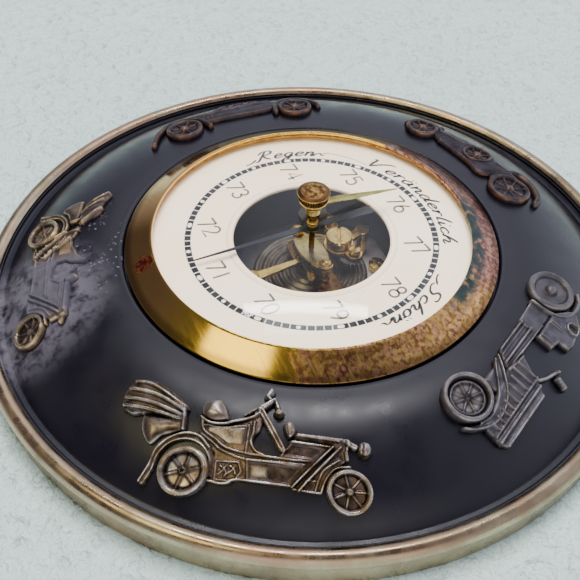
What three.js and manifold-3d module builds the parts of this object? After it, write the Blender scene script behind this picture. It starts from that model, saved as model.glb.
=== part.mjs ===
// Decorative aneroid wall barometer, lying on its back.
// Millimetres. +Z points out of the dial, +Y is 12 o'clock on the dial, z = 0 is the wall side.
import * as THREE from "three";
import { mergeVertices } from "three/addons/utils/BufferGeometryUtils.js";
import Module from "manifold-3d";

const wasm = await Module();
wasm.setup();

// ---- driving dimensions ----
const GAP = 0.3; // clearance between touching pieces
const SHEET = 0.7; // thickness of the spun and stamped sheet pieces
const RING_SEGMENTS = 40;
const SMALL_SEGMENTS = 16;

const CASE_RADIUS = 90;
const WALL_RADIUS = 89; // straight side wall of the rim
const RIM_TOP = 10.6;
const RIM_BEAD = 2.35; // radius of the rolled edge
const BACK_LIP_RADIUS = 84;

const BODY_BOTTOM = 2.2;
const BODY_LIP_RADIUS = 52.5; // raised lip next to the bezel
const BODY_LIP_INNER = 50.5;
const BODY_LIP_TOP = 20.7;
const BODY_ARC = 43; // radius of the convex section
const BODY_EDGE_RADIUS = 82.5; // where the convex section meets the edge channel
const BODY_THICKNESS = 2.5;
const BODY_STEPS = 6;
const TUBE_INNER = 48.6;
const TUBE_OUTER = 50.8;

const BEZEL_OUTER = 50;
const BEZEL_INNER = 42.4;
const BEZEL_EDGE_TOP = 21;
const BEZEL_TOP = 25.1;

const DIAL_TOP = 21.8;
const DIAL_RADIUS = 45.4;
const WINDOW_RADIUS = 21.1;

const GLASS_RADIUS = 43.6;
const GLASS_EDGE_TOP = 23.4;
const GLASS_CENTRE_TOP = 29.3;
const GLASS_THICKNESS = 1.2;
const GLASS_HOLE = 1.4;

const BACK_PLATE_Z = 1.1;
const CUP_RADIUS = 46.3;
const CUP_FLOOR = 2.4;
const BASE_Z = 3.3;
const CARRIER_Z = 4.4;
const CAPSULE_RADIUS = 16;
const CAPSULE_BOTTOM = 6.5;
const CAPSULE_TOP = 9.6;
const LOWER_BRIDGE_Z = 11;
const TOP_BRIDGE_Z = 16.5;
const PILLAR_X = 7.65;
const BRACKET_Z = 13.3;

const SECTOR_DISTANCE = 17.9; // pointer axis to sector axis
const SECTOR_RATIO = 11;
const PINION_TEETH = 8;
const PINION_RADIUS = SECTOR_DISTANCE / (SECTOR_RATIO + 1);
const SECTOR_RADIUS = SECTOR_DISTANCE - PINION_RADIUS;
const SECTOR_Z = 14;
const ROCKER_X = -3.6;
const ROCKER_Z = 12.6;

const POINTER_ANGLE = 171.5; // degrees anticlockwise from 12 o'clock
const POINTER_Z = 25.4;
const POINTER_FALL = 0.06; // how much the hand drops towards its tip, per length
const KNOB_TOP = 38;

// ---- colours: colour, roughness, metalness ----
const FINISH = {
  lacquer: [0x1b1c22, 0.35, 0.1],
  rim: [0x7a5c3c, 0.35, 0.9],
  relief: [0x6f6468, 0.4, 0.85],
  bezel: [0xb98d3c, 0.2, 1],
  glass: [0xe8f0f0, 0.05, 0],
  dial: [0xe6ddd0, 0.6, 0],
  steel: [0x4a4f58, 0.4, 0.8],
  nickel: [0xc8c4cc, 0.3, 0.9],
  capsule: [0x9c9690, 0.35, 0.9],
  brass: [0xc2a050, 0.25, 1],
  hand: [0x3d4148, 0.4, 0.7],
  back: [0x2c2a28, 0.6, 0.3],
};

const part = new THREE.Group();

const rad = THREE.MathUtils.degToRad;

function addMesh(parent, name, geometry, finish) {
  const [color, roughness, metalness] = FINISH[finish];
  const material = new THREE.MeshStandardMaterial({ color, roughness, metalness });
  const mesh = new THREE.Mesh(geometry, material);
  mesh.name = name;
  parent.add(mesh);
  return mesh;
}

// ---- geometry helpers ----
function signedVolume(geometry) {
  const p = geometry.attributes.position;
  const index = geometry.index;
  const count = index ? index.count : p.count;
  const corner = (i) => new THREE.Vector3().fromBufferAttribute(p, index ? index.getX(i) : i);
  let sum = 0;
  for (let i = 0; i < count; i += 3) {
    sum += corner(i).dot(corner(i + 1).cross(corner(i + 2)));
  }
  return sum / 6;
}

function facingOut(geometry) {
  const plain = new THREE.BufferGeometry();
  plain.setAttribute("position", geometry.attributes.position);
  plain.setIndex(geometry.index);
  const merged = mergeVertices(plain, 1e-4);
  if (signedVolume(merged) < 0) {
    const index = merged.index.array;
    for (let i = 0; i < index.length; i += 3) {
      [index[i], index[i + 1]] = [index[i + 1], index[i]];
    }
  }
  return merged;
}

// A profile of [radius, z] points, turned about Z. It closes on itself, or on the axis.
function turned(profile, segments = RING_SEGMENTS) {
  const points = profile.map(([r, z]) => new THREE.Vector2(r, z));
  const onAxis = profile[0][0] === 0 && profile[profile.length - 1][0] === 0;
  if (!onAxis) points.push(points[0].clone());
  const geometry = new THREE.LatheGeometry(points, segments);
  geometry.rotateX(Math.PI / 2);
  return facingOut(geometry);
}

function ring(inner, outer, bottom, top, segments = RING_SEGMENTS) {
  return turned([[inner, bottom], [outer, bottom], [outer, top], [inner, top]], segments);
}

function rod(radius, bottom, top, segments = SMALL_SEGMENTS) {
  return turned([[0, bottom], [radius, bottom], [radius, top], [0, top]], segments);
}

// An outline of [x, y] points, lifted from bottom to top.
function prism(outline, bottom, top) {
  const shape = new THREE.Shape(outline.map(([x, y]) => new THREE.Vector2(x, y)));
  const geometry = new THREE.ExtrudeGeometry(shape, { depth: top - bottom, bevelEnabled: false });
  geometry.translate(0, 0, bottom);
  return facingOut(geometry);
}

function box(x, y, z, width, depth, height) {
  const geometry = new THREE.BoxGeometry(width, depth, height);
  geometry.translate(x, y, z + height / 2);
  return facingOut(geometry);
}

function at(geometry, x, y, z = 0) {
  return geometry.clone().translate(x, y, z);
}

function circle(x, y, radius, segments = SMALL_SEGMENTS) {
  return arc(x, y, radius, 0, 360 - 360 / segments, segments - 1);
}

function arc(x, y, radius, from, to, steps) {
  const points = [];
  for (let i = 0; i <= steps; i++) {
    const angle = rad(from + ((to - from) * i) / steps);
    points.push([x + radius * Math.cos(angle), y + radius * Math.sin(angle)]);
  }
  return points;
}

// ---- joining and cutting ----
function solid(geometry) {
  return new wasm.Manifold(
    new wasm.Mesh({
      numProp: 3,
      vertProperties: new Float32Array(geometry.attributes.position.array),
      triVerts: new Uint32Array(geometry.index.array),
    }),
  );
}

function shaped(manifold) {
  const mesh = manifold.getMesh();
  const geometry = new THREE.BufferGeometry();
  geometry.setAttribute("position", new THREE.BufferAttribute(mesh.vertProperties, 3));
  geometry.setIndex(new THREE.BufferAttribute(mesh.triVerts, 1));
  return geometry;
}

function joined(...geometries) {
  return shaped(geometries.map(solid).reduce((a, b) => a.add(b)));
}

function cut(geometry, ...tools) {
  return shaped(tools.map(solid).reduce((a, b) => a.subtract(b), solid(geometry)));
}

function slotCutter(x, y, length, width, bottom, top, angle) {
  const geometry = box(0, 0, bottom, length, width, top - bottom);
  return geometry.rotateZ(rad(angle)).translate(x, y, 0);
}

// ---- case ----
const ARC_CENTRE_Z = BODY_LIP_TOP - BODY_ARC;

// The convex section between two radii, moved out by an offset along its normal.
function bodyArc(offset, fromRadius, toRadius, steps) {
  const startAngle = Math.asin((fromRadius - BODY_LIP_RADIUS) / BODY_ARC);
  const endAngle = Math.asin((toRadius - BODY_LIP_RADIUS) / BODY_ARC);
  const reach = BODY_ARC + offset;
  const points = [];
  for (let i = 0; i <= steps; i++) {
    const angle = startAngle + ((endAngle - startAngle) * i) / steps;
    points.push([
      BODY_LIP_RADIUS + reach * Math.sin(angle),
      ARC_CENTRE_Z + reach * Math.cos(angle),
    ]);
  }
  return points;
}

function caseBody() {
  const grooveFloor = BODY_LIP_TOP - 2.4;
  const flankEnd = 7.2;
  const ledge = 9.2;
  const outside = WALL_RADIUS - 1.3;
  return turned([
    [TUBE_INNER, BODY_BOTTOM],
    [TUBE_INNER, grooveFloor],
    [BODY_LIP_INNER, grooveFloor],
    [BODY_LIP_INNER, BODY_LIP_TOP - 0.4],
    [BODY_LIP_INNER + 0.4, BODY_LIP_TOP],
    ...bodyArc(0, BODY_LIP_RADIUS, BODY_EDGE_RADIUS, BODY_STEPS),
    [BODY_EDGE_RADIUS + 2, flankEnd],
    [BODY_EDGE_RADIUS + 2.8, flankEnd],
    [BODY_EDGE_RADIUS + 2.8, ledge],
    [outside, ledge],
    [outside, BODY_BOTTOM],
    [outside - 2.1, BODY_BOTTOM],
    [outside - 2.1, 5.4],
    ...bodyArc(-BODY_THICKNESS, BODY_LIP_RADIUS + 1.5, BODY_EDGE_RADIUS, 4).reverse(),
    [TUBE_OUTER, grooveFloor - 2.2],
    [TUBE_OUTER, BODY_BOTTOM],
  ]);
}

function rimRing() {
  const inside = WALL_RADIUS - 0.8;
  const flange = 9.6;
  const beadStart = -50;
  const beadEnd = 145;
  return turned([
    [BACK_LIP_RADIUS, 0],
    [WALL_RADIUS, 0],
    [WALL_RADIUS, 6.2],
    ...arc(CASE_RADIUS - RIM_BEAD, RIM_TOP - RIM_BEAD, RIM_BEAD, beadStart, beadEnd, 9),
    [inside, flange],
    [inside, 0.8],
    [BACK_LIP_RADIUS, 0.8],
  ]);
}

const HANGER_Y = 60;
const KEYHOLE_RADIUS = 4.2;
const KEYHOLE_SLOT = 4.8;
const BACK_SCREW_RADIUS = 40;
const ADJUSTER = [0, -24];

function keyholeOutline() {
  const halfSlot = KEYHOLE_SLOT / 2;
  const start = THREE.MathUtils.radToDeg(Math.acos(halfSlot / KEYHOLE_RADIUS));
  return [
    ...arc(0, 0, KEYHOLE_RADIUS, 180 - start, 360 + start, 14),
    ...arc(0, 8.5, halfSlot, 0, 180, 6),
  ];
}

function backPlate() {
  const top = BACK_PLATE_Z + 0.8;
  const disc = rod(WALL_RADIUS - 1.4, BACK_PLATE_Z, top, RING_SEGMENTS);
  const hangerHole = box(0, HANGER_Y + 3, 0, 12, 22, 3);
  const adjusterHole = at(rod(2.6, 0, 3), ...ADJUSTER);
  const screwHoles = backScrewPlaces().map(([x, y]) => at(rod(1.3, 0, 3, 12), x, y));
  const rivetHoles = [-1, 1].map((side) => at(rod(1.1, 0, 3, 12), side * 13, HANGER_Y));
  return cut(disc, hangerHole, adjusterHole, ...screwHoles, ...rivetHoles);
}

function backScrewPlaces() {
  return [90, 210, 330].map((angle) => [
    BACK_SCREW_RADIUS * Math.cos(rad(angle)),
    BACK_SCREW_RADIUS * Math.sin(rad(angle)),
  ]);
}

// Screw with its head at the wall side, through the back plate into the cup's floor.
function backScrew() {
  const headTop = BACK_PLATE_Z - GAP;
  const profile = [[0, 0.1], [2.4, 0.1], [2.6, headTop], [1, headTop], [1, 2.1], [0, 2.1]];
  const screw = turned(profile, SMALL_SEGMENTS);
  return cut(screw, box(0, 0, 0, 6, 0.7, 0.4));
}

function hangerPlate() {
  const plate = prism(
    [...arc(14, 0, 4, -90, 90, 8), [8, 12.5], ...arc(0, 12.5, 6.4, 30, 150, 6), [-8, 12.5],
      ...arc(-14, 0, 4, 90, 270, 8)],
    0.2,
    0.8,
  );
  const rivetHoles = [-1, 1].map((side) => at(rod(1.1, 0, 3, 12), side * 13, 0));
  return at(cut(plate, prism(keyholeOutline(), -1, 2), ...rivetHoles), 0, HANGER_Y);
}

function hangerRivet() {
  return turned([[0, 0.05], [0.8, 0.05], [0.8, 2.2], [1.6, 2.2], [1.2, 2.9], [0, 2.9]], 12);
}

// ---- cast cars ----
// A car is drawn flat: u along the car towards its front, v up. Each plate has a height above the case.
const WHEEL_HEIGHT = 3;

function fender(x, y, radius, from, to, width = 2.2) {
  return [...arc(x, y, radius, from, to, 8), ...arc(x, y, radius - width, to, from, 8)];
}

const TOURER = {
  wheels: [[-18.7, 3.4, 6.05], [18.5, 3.7, 5.35]],
  plates: [
    [2.4, [[-35.9, 18.2], [-36.4, 22], [-35.2, 25.4], [-33.2, 27.5], [-29.6, 27.4], [-26.2, 25.8],
      [-21.9, 22.2], [-19.9, 19.8], [-20.1, 12.8], [-21.4, 12.8], [-21.5, 15.4], [-30.6, 17],
      [-33, 16.7]]],
    [1.8, [[-30.6, 17.6], [-30.4, 13.7], [-29.3, 10.9], [-27.4, 9.3], [-20.8, 11.8], [-20.7, 15.9]]],
    [2.2, [[-28.9, 0.6], [-27.2, 4.4], [-26.2, 8.6], [-23.4, 11.6], [-20, 13.2], [-16.4, 12.8],
      [-13.4, 10], [-11.9, 5.6], [-12, 1.6], [-25.6, 3.4], [-27.4, 0.2]]],
    [2.4, [[-17, 14], [-17.2, 20.4], [-16, 22.6], [-14, 23.4], [-12.2, 22.6], [-10.6, 19.6],
      [-10, 14]]],
    [2, [[-20.4, 13.4], [-16.9, 12.4], [-16.4, 17.2], [-10.2, 15.6], [-4.6, 19.4], [-3.6, 21.6],
      [-2.4, 20], [-3.9, 13.6], [-3.9, 10.2], [-1.2, 9.2], [1.6, 9.4], [4, 13.6], [5.2, 16.4],
      [16.3, 16.8], [17.1, 14], [17.1, 10.8], [13, 5.2], [12.4, 1.6], [5.2, 1.8], [-6.6, 2],
      [-8.4, 0.9], [-12.6, 1.2], [-12.6, 8]]],
    [2.2, [[-4.6, 20.8], [-3.2, 21.9], [3.6, 11.2], [2, 9.8]]],
    [1.8, [[-7.2, 19.2], [-3.2, 24], [-3.8, 25.8], [-3, 28.4], [-1.6, 28.6], [-1.2, 26], [-0.2, 25],
      [1, 22.4], [1.8, 21], [0.6, 19.8], [-0.8, 20.6], [-1.2, 22.4], [-4, 19]]],
    [2.4, [[1.8, 16], [1.8, 18.2], [3.4, 19.2], [4.9, 17.6], [5.4, 15], [3.8, 12.6]]],
    [2.2, [[15.6, 13.8], [16, 17], [18.6, 15.8], ...arc(20.7, 14.5, 2, 120, -120, 8), [18.4, 13.6]]],
    [2.4, [[5.6, 1.4], [12.6, 1.6], [13.2, 5.4], [15, 8], [18.2, 9], [18, 10.2], [15.6, 14.2],
      [13.2, 14]]],
  ],
};

const SALOON = {
  wheels: [[21.4, -4.8, 6.5], [-22.5, -5, 6.6]],
  plates: [
    [2.4, [[1.4, -0.6], [4.4, 4.6], [5.6, 7.6], [7.4, 9.4], [23.8, 9.4], [25.2, 7.6], [25, 1],
      [8.6, -1.8]]],
    [1.8, [[-15.8, -7.6], [4.6, -6.2], [8.8, -0.8], [-15.6, -0.8]]],
    [2.2, [[6.4, -5.4], [9.2, -1.6], [13.8, 2.4], [18.4, 4.2], [23, 3.9], [26.9, 1.4], [28.8, -1.4],
      [24, -2], [9.4, -4.8]]],
    [2.2, [[-14, -7.2], [-13.8, -3.2], [-14.7, 0.4], [-17.2, 2.9], [-20.6, 3.8], [-24.4, 3.4],
      [-27.6, 1.4], [-24, -1], [-16, -4]]],
    [2.2, [[-5.6, -0.8], [-5.6, 4.3], [-8.7, 4.9], [-9.3, 7.8], [-11.6, 8.1], [-15, 7.3], [-18.5, 6.5],
      [-22.1, 3.1], [-15.6, -1.4]]],
    [1.8, [[6, 6.4], [2.2, 8], [0.9, 9.6], [1.2, 12.6], [-0.4, 12.6], [-1, 9.8], [-2.6, 10],
      [-3.4, 8.6], [-0.8, 7.6], [4.6, 4.8]]],
  ],
};

const ROADSTER = {
  wheels: [[17.5, -3, 6.5], [-19.3, -2.2, 5.2], [0.6, 1.4, 4.9]],
  plates: [
    [2, [[-15.4, -1.8], [-15, 3.6], [-10, 5.2], [-7, 6.6], [-3.6, 9], [-2.6, 9], [-1, 6.9], [5, 6.4],
      [10, 5], [15.4, 4], [11, -2.4], [7, -5.8], [2, -4.6], [-11, -3.6]]],
    [2.1, [[10.4, -3.8], [10.1, 1.6], [11.6, 7.1], [16.2, 8.3], [21.2, 6.8], [25.1, 3.7], [26.8, -0.2],
      [23, 0.6], [13, -2]]],
    [1.9, [[-25.4, -3.6], [-24.2, 1.8], [-20.2, 4.4], [-17.4, 5.2], [-15.2, 3.4], [-11.9, 0.6],
      [-10, -2.8], [-13, -3.4], [-23, -2]]],
  ],
};

const LIMOUSINE = {
  wheels: [[-18.5, -1.8, 5.8], [17.5, -1.6, 5.5]],
  plates: [
    [1.9, [[-20, 1.6], [-17, 5.4], [-11, 6.4], [-8.4, 7], [-5.4, 9], [0, 9.6], [7.4, 9], [11.4, 6.6],
      [19, 5.4], [22.4, 1.6], [15, 0], [6, -0.8], [-4, -0.8], [-12, -0.4]]],
    [2.2, [[-30.4, -6.8], [-27.6, -0.4], [-22.8, 4.6], [-17.4, 5.9], [-12.4, 3.1], [-10.4, -0.8],
      [-9.6, -3.2], [-13, -2.6], [-23.6, -2.4], [-28.6, -7]]],
    [2.2, [[9.8, -3.2], [11.2, 2.2], [15.6, 5.8], [20.8, 5.4], [24.7, 1.6], [26, -2.8], [22, -2],
      [13, -2]]],
  ],
};

// the tourer again, smaller and without its steering column and lamps
const PHAETON = {
  tilt: -7.8,
  wheels: [[-18.5, 1.5, 5.5], [16.1, 1.7, 4.9]],
  plates: [
    [1.8, [[-24, 13.9], [-29.4, 17.7], [-31.5, 22.4], [-30.1, 23.8], [-23.8, 21.4], [-21.4, 19.5],
      [-18.4, 14.2], [-18.6, 10], [-20.6, 10]]],
    [1.4, [[-29.5, 14.2], [-29.4, 10.7], [-28.3, 8.2], [-26.6, 6.8], [-19.6, 9], [-19.6, 14.4]]],
    [1.8, [[-28, -1.1], [-26.4, 2.4], [-25.5, 6.1], [-22.9, 8.8], [-19.7, 10.3], [-16.4, 9.9],
      [-13.6, 7.4], [-12.2, 3.4], [-12.3, -0.2], [-24.6, 1.4], [-26.6, -1.4]]],
    [1.6, [[-20.1, 10.5], [-16.8, 9.6], [-16.4, 13.9], [-10.6, 12.4], [-6.7, 14.4], [-4.4, 17.8],
      [-3.3, 16.4], [-2.4, 9.4], [2.6, 10.6], [2.4, 15.2], [3.6, 13.6], [14.1, 13.6], [16.6, 12.6],
      [14.8, 8.1], [11, 3.1], [10.4, -0.2], [-7.2, 0.2], [-8.9, -0.7], [-12.8, -0.4], [-12.8, 5.6]]],
    [1.8, [[4.2, -0.3], [10.8, -0.2], [11.4, 3.2], [13.2, 5.6], [15.8, 6.6], [13.6, 11.2], [11.2, 11]]],
  ],
};

// centre radius on the case, degrees anticlockwise from 12 o'clock, roofs inward or outward
const CARS = [
  ["tourer_relief", TOURER, 77, -128, "inward"],
  ["saloon_relief", SALOON, 64.8, -66.5, "outward"],
  ["roadster_relief", ROADSTER, 61.7, 8.6, "outward"],
  ["limousine_relief", LIMOUSINE, 61, 81.1, "outward"],
  ["phaeton_relief", PHAETON, 75.4, 160.6, "inward"],
];

function onCase(points, radius, angle, roofs, tilt) {
  const inward = roofs === "inward" ? 1 : -1;
  const slope = Math.asin((radius - BODY_LIP_RADIUS) / BODY_ARC);
  const direction = rad(angle + 90);
  const lean = rad(tilt);
  return points.map(([u, v]) => {
    const along = inward * (u * Math.cos(lean) - v * Math.sin(lean));
    const up = u * Math.sin(lean) + v * Math.cos(lean);
    const out = radius - inward * up * Math.cos(slope);
    return [
      out * Math.cos(direction) - along * Math.sin(direction),
      out * Math.sin(direction) + along * Math.cos(direction),
    ];
  });
}

// The layer of space that lies over the convex section, from the clearance up to a height.
function layer(height) {
  return solid(
    turned([
      ...bodyArc(GAP, BODY_LIP_RADIUS, BODY_EDGE_RADIUS, BODY_STEPS),
      ...bodyArc(height, BODY_LIP_RADIUS, BODY_EDGE_RADIUS, BODY_STEPS).reverse(),
    ]),
  );
}

function relief(car, radius, angle, roofs) {
  const tilt = car.tilt ?? 0;
  const raised = (outline, height) =>
    solid(prism(onCase(outline, radius, angle, roofs, tilt), 0, 40)).intersect(layer(height));
  const pieces = car.plates.map(([height, outline]) => raised(outline, height));
  for (const [u, v, r] of car.wheels) {
    pieces.push(raised(circle(u, v, r, 14), WHEEL_HEIGHT));
  }
  return shaped(pieces.reduce((a, b) => a.add(b)));
}

// ---- bezel, glass and dial ----
function bezelRing() {
  const slope = (BEZEL_TOP - BEZEL_EDGE_TOP) / (BEZEL_OUTER - BEZEL_INNER - 0.5);
  const skirtInner = 47;
  const underside = BEZEL_EDGE_TOP + (BEZEL_OUTER - skirtInner) * slope - 0.9;
  return turned([
    [skirtInner, 15.5],
    [skirtInner + 0.8, 15.5],
    [skirtInner + 0.8, BEZEL_EDGE_TOP - 0.7],
    [BEZEL_OUTER, BEZEL_EDGE_TOP - 0.7],
    [BEZEL_OUTER, BEZEL_EDGE_TOP],
    [BEZEL_INNER + 0.5, BEZEL_TOP],
    [BEZEL_INNER, BEZEL_TOP],
    [BEZEL_INNER, BEZEL_TOP - 0.7],
    [skirtInner, underside],
  ]);
}

function glassDome() {
  const rise = GLASS_CENTRE_TOP - GLASS_EDGE_TOP;
  const sphere = (GLASS_RADIUS ** 2 + rise ** 2) / (2 * rise);
  const steps = 4;
  const surface = (drop) => {
    const points = [];
    for (let i = 0; i <= steps; i++) {
      const r = GLASS_HOLE + ((GLASS_RADIUS - GLASS_HOLE) * i) / steps;
      points.push([r, GLASS_CENTRE_TOP - drop - (sphere - Math.sqrt(sphere ** 2 - r ** 2))]);
    }
    return points;
  };
  return turned([...surface(0), ...surface(GLASS_THICKNESS).reverse()]);
}

function dialPlate() {
  const bottom = DIAL_TOP - 0.8;
  return turned([
    [WINDOW_RADIUS, bottom],
    [DIAL_RADIUS, bottom],
    [DIAL_RADIUS, DIAL_TOP],
    [WINDOW_RADIUS + 1.2, DIAL_TOP],
    [WINDOW_RADIUS + 0.9, DIAL_TOP + 0.4],
    [WINDOW_RADIUS + 0.3, DIAL_TOP + 0.4],
    [WINDOW_RADIUS, DIAL_TOP + 0.1],
  ]);
}

function movementCup() {
  const top = DIAL_TOP - 0.8 - GAP;
  const cup = turned([
    [0, CUP_FLOOR],
    [CUP_RADIUS, CUP_FLOOR],
    [CUP_RADIUS, top],
    [CUP_RADIUS - SHEET, top],
    [CUP_RADIUS - SHEET, CUP_FLOOR + 0.6],
    [0, CUP_FLOOR + 0.6],
  ]);
  return cut(cup, at(rod(2.6, 0, 6), ...ADJUSTER));
}

// ---- movement: plates and capsule ----
function aneroidCapsule() {
  const rings = 5;
  const pitch = 2.2;
  const top = [];
  for (let i = 0; i < rings; i++) {
    const crest = CAPSULE_RADIUS - 1 - i * pitch;
    top.push([crest, CAPSULE_TOP - 0.3], [crest - pitch / 2, CAPSULE_TOP - 0.9]);
  }
  return turned(
    [
      [0, CAPSULE_BOTTOM],
      [CAPSULE_RADIUS - 1.2, CAPSULE_BOTTOM],
      [CAPSULE_RADIUS, CAPSULE_BOTTOM + 1.2],
      [CAPSULE_RADIUS, CAPSULE_TOP - 1.2],
      ...top,
      [1.4, CAPSULE_TOP - 0.3],
      [1.4, CAPSULE_TOP - 1.7],
      [0, CAPSULE_TOP - 1.7],
    ],
    24,
  );
}

function basePlate() {
  const plate = rod(CUP_RADIUS - SHEET - 0.5, BASE_Z, BASE_Z + 0.8, RING_SEGMENTS);
  return cut(plate, at(rod(1.5, 0, 8), ...ADJUSTER));
}

function lowerBridge() {
  const bar = prism(
    [...arc(18.8, 0, 3, -70, 70, 6), [9, 3.6], ...arc(-PILLAR_X, 0, 3, 75, 285, 10), [9, -3.6]],
    LOWER_BRIDGE_Z,
    LOWER_BRIDGE_Z + 0.9,
  );
  const rockerNotch = box(-0.8, -3, 0, 3.4, 6, 20);
  return cut(bar, rod(1.7, 0, 20), rockerNotch);
}

function topBridge() {
  const halfLength = PILLAR_X + 1.7;
  const halfWidth = 3.5;
  const bow = (halfLength ** 2 + halfWidth ** 2) / (2 * halfWidth);
  const sweep = THREE.MathUtils.radToDeg(Math.asin(halfLength / bow)) - 6;
  const leaf = prism(
    [
      ...arc(0, halfWidth - bow, bow, 90 - sweep, 90 + sweep, 10),
      ...arc(0, bow - halfWidth, bow, 270 - sweep, 270 + sweep, 10),
    ],
    TOP_BRIDGE_Z,
    TOP_BRIDGE_Z + 0.7,
  );
  return cut(leaf, rod(1.2, 0, 30));
}

const BIG_SCREW = [-1.2, 9.7];
const TRIM_SCREW = [4.3, 11.4];
const BRACKET_STUD = [-8.6, 11.8];
const BRACKET_FOOT = [-3, 18.6];
const CARRIER_CENTRE = [-3.9, 4.6];

// A strip of the given half-width from one place to another.
function strip(from, to, halfWidth, bottom, top) {
  const length = Math.hypot(to[0] - from[0], to[1] - from[1]);
  const across = [(-halfWidth * (to[1] - from[1])) / length, (halfWidth * (to[0] - from[0])) / length];
  const corners = [
    [from[0] - across[0], from[1] - across[1]],
    [to[0] - across[0], to[1] - across[1]],
    [to[0] + across[0], to[1] + across[1]],
    [from[0] + across[0], from[1] + across[1]],
  ];
  return prism(corners, bottom, top);
}

function topBracket() {
  const top = BRACKET_Z + 0.9;
  const pad = (place, radius) => at(rod(radius, BRACKET_Z, top), ...place);
  return joined(
    pad(BIG_SCREW, 4.4),
    pad(TRIM_SCREW, 2.5),
    pad(BRACKET_FOOT, 2.3),
    pad(BRACKET_STUD, 2.1),
    strip(BIG_SCREW, TRIM_SCREW, 2.2, BRACKET_Z, top),
    strip(BIG_SCREW, BRACKET_FOOT, 1.6, BRACKET_Z, top),
    strip(BIG_SCREW, BRACKET_STUD, 1.5, BRACKET_Z, top),
  );
}

function slottedHead(radius, height, slot, angle, segments = SMALL_SEGMENTS) {
  const chamfer = 0.3;
  const head = turned(
    [[0, 0], [radius, 0], [radius, height - chamfer], [radius - chamfer, height], [0, height]],
    segments,
  );
  return cut(head, slotCutter(0, 0, 3 * radius, slot, height - 0.8, height + 1, angle));
}

function lockWasher() {
  const teeth = 18;
  const outline = [];
  for (let i = 0; i < teeth * 2; i++) {
    const angle = (Math.PI * i) / teeth;
    const r = i % 2 ? 3.2 : 2.7;
    outline.push([r * Math.cos(angle), r * Math.sin(angle)]);
  }
  return prism(outline, BRACKET_Z - GAP - 0.6, BRACKET_Z - GAP);
}

// ---- movement: moving pieces ----
const TOOTH_HEIGHT = 0.2;

function toothedArc(radius, toothAngle, from, to) {
  const outline = [];
  for (let angle = from; angle < to - 1e-6; angle += toothAngle) {
    for (const [share, rise] of [[0, -1], [0.3, -1], [0.42, 1], [0.58, 1], [0.7, -1]]) {
      const a = rad(angle + share * toothAngle);
      const r = radius + rise * TOOTH_HEIGHT;
      outline.push([r * Math.cos(a), r * Math.sin(a)]);
    }
  }
  return outline;
}

// Turns about its own origin. Its arm points along +Y, with the toothed fan to the right of the arm.
function sectorLever() {
  const toothAngle = 360 / (PINION_TEETH * SECTOR_RATIO);
  const fanStart = 90 - 7.5 * toothAngle;
  const fanEnd = 90 + 1.5 * toothAngle;
  const fanInner = SECTOR_RADIUS - 1.8;
  const fan = prism(
    [...toothedArc(SECTOR_RADIUS, toothAngle, fanStart, fanEnd), ...arc(0, 0, fanInner, fanEnd, fanStart, 8)],
    SECTOR_Z,
    SECTOR_Z + 0.8,
  );
  const arm = prism(
    [[-1.5, -0.5], [1.5, -0.5], [0.7, fanInner + 0.4], [-0.6, fanInner + 0.4]],
    SECTOR_Z,
    SECTOR_Z + 0.8,
  );
  const tail = prism([[-2.7, -2.5], [-1.7, -2.8], [0.8, -1.2], [-1.4, 0.8]], SECTOR_Z, SECTOR_Z + 0.8);
  const hub = rod(1.9, SECTOR_Z, SECTOR_Z + 0.8);
  const pin = at(rod(0.35, SECTOR_Z + 0.4, ROCKER_Z + 5, 10), -2.1, -2.2);
  return cut(joined(fan, arm, tail, hub, pin), rod(0.95, 0, 30));
}

function sectorPost() {
  return turned(
    [
      [0, CARRIER_Z],
      [1.2, CARRIER_Z],
      [1.2, SECTOR_Z - GAP],
      [0.65, SECTOR_Z - GAP],
      [0.65, SECTOR_Z + 1.1],
      [1.7, SECTOR_Z + 1.1],
      [1.5, SECTOR_Z + 1.9],
      [0, SECTOR_Z + 1.9],
    ],
    16,
  );
}

function pointerArbor() {
  const outline = toothedArc(PINION_RADIUS, 360 / PINION_TEETH, 270, 630);
  const pinion = prism(outline, SECTOR_Z - 0.4, SECTOR_Z + 1);
  const shaft = rod(0.5, LOWER_BRIDGE_Z + 2.2, POINTER_Z - 0.5, 12);
  const sleeve = rod(0.8, TOP_BRIDGE_Z + 1.2, POINTER_Z - 2, 12);
  return joined(pinion, shaft, sleeve);
}

function hairspring() {
  const turns = 3;
  const steps = 14 * turns;
  const inner = 1.1;
  const growth = 0.75;
  const width = 0.22;
  const side = (offset) => {
    const points = [];
    for (let i = 0; i <= steps; i++) {
      const angle = (2 * Math.PI * turns * i) / steps;
      const r = inner + (growth * angle) / (2 * Math.PI) + offset;
      points.push([r * Math.cos(angle), r * Math.sin(angle)]);
    }
    return points;
  };
  return prism([...side(width / 2), ...side(-width / 2).reverse()], SECTOR_Z + 1.4, SECTOR_Z + 1.9);
}

function rockerShaft() {
  const shaft = rod(0.45, 0, 8.6, 12).rotateX(Math.PI / 2);
  const reach = new THREE.Vector2(-ROCKER_X, SECTOR_DISTANCE - 2);
  const arm = box(0, 0, -0.3, 0.7, reach.length(), 0.6);
  arm.translate(0, reach.length() / 2, 0);
  arm.rotateZ(-Math.atan2(reach.x, reach.y));
  arm.translate(0, -0.3, 0);
  const upright = box(0, -4.2, 0, 0.8, 0.9, 5);
  return joined(shaft, arm, upright);
}

function rockerStand() {
  const height = ROCKER_Z + 1 - CARRIER_Z;
  const stand = box(0, 0, CARRIER_Z, 2, 1, height);
  const bore = rod(0.6, -2, 2, 12);
  bore.rotateX(Math.PI / 2);
  bore.translate(0, 0, ROCKER_Z);
  return cut(stand, bore);
}

// Lowers every point by an amount that depends on how far along +Y it lies.
function lowered(geometry, fall) {
  const p = geometry.attributes.position;
  for (let i = 0; i < p.count; i++) {
    p.setZ(i, p.getZ(i) - fall(p.getY(i)));
  }
  return geometry;
}

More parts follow.
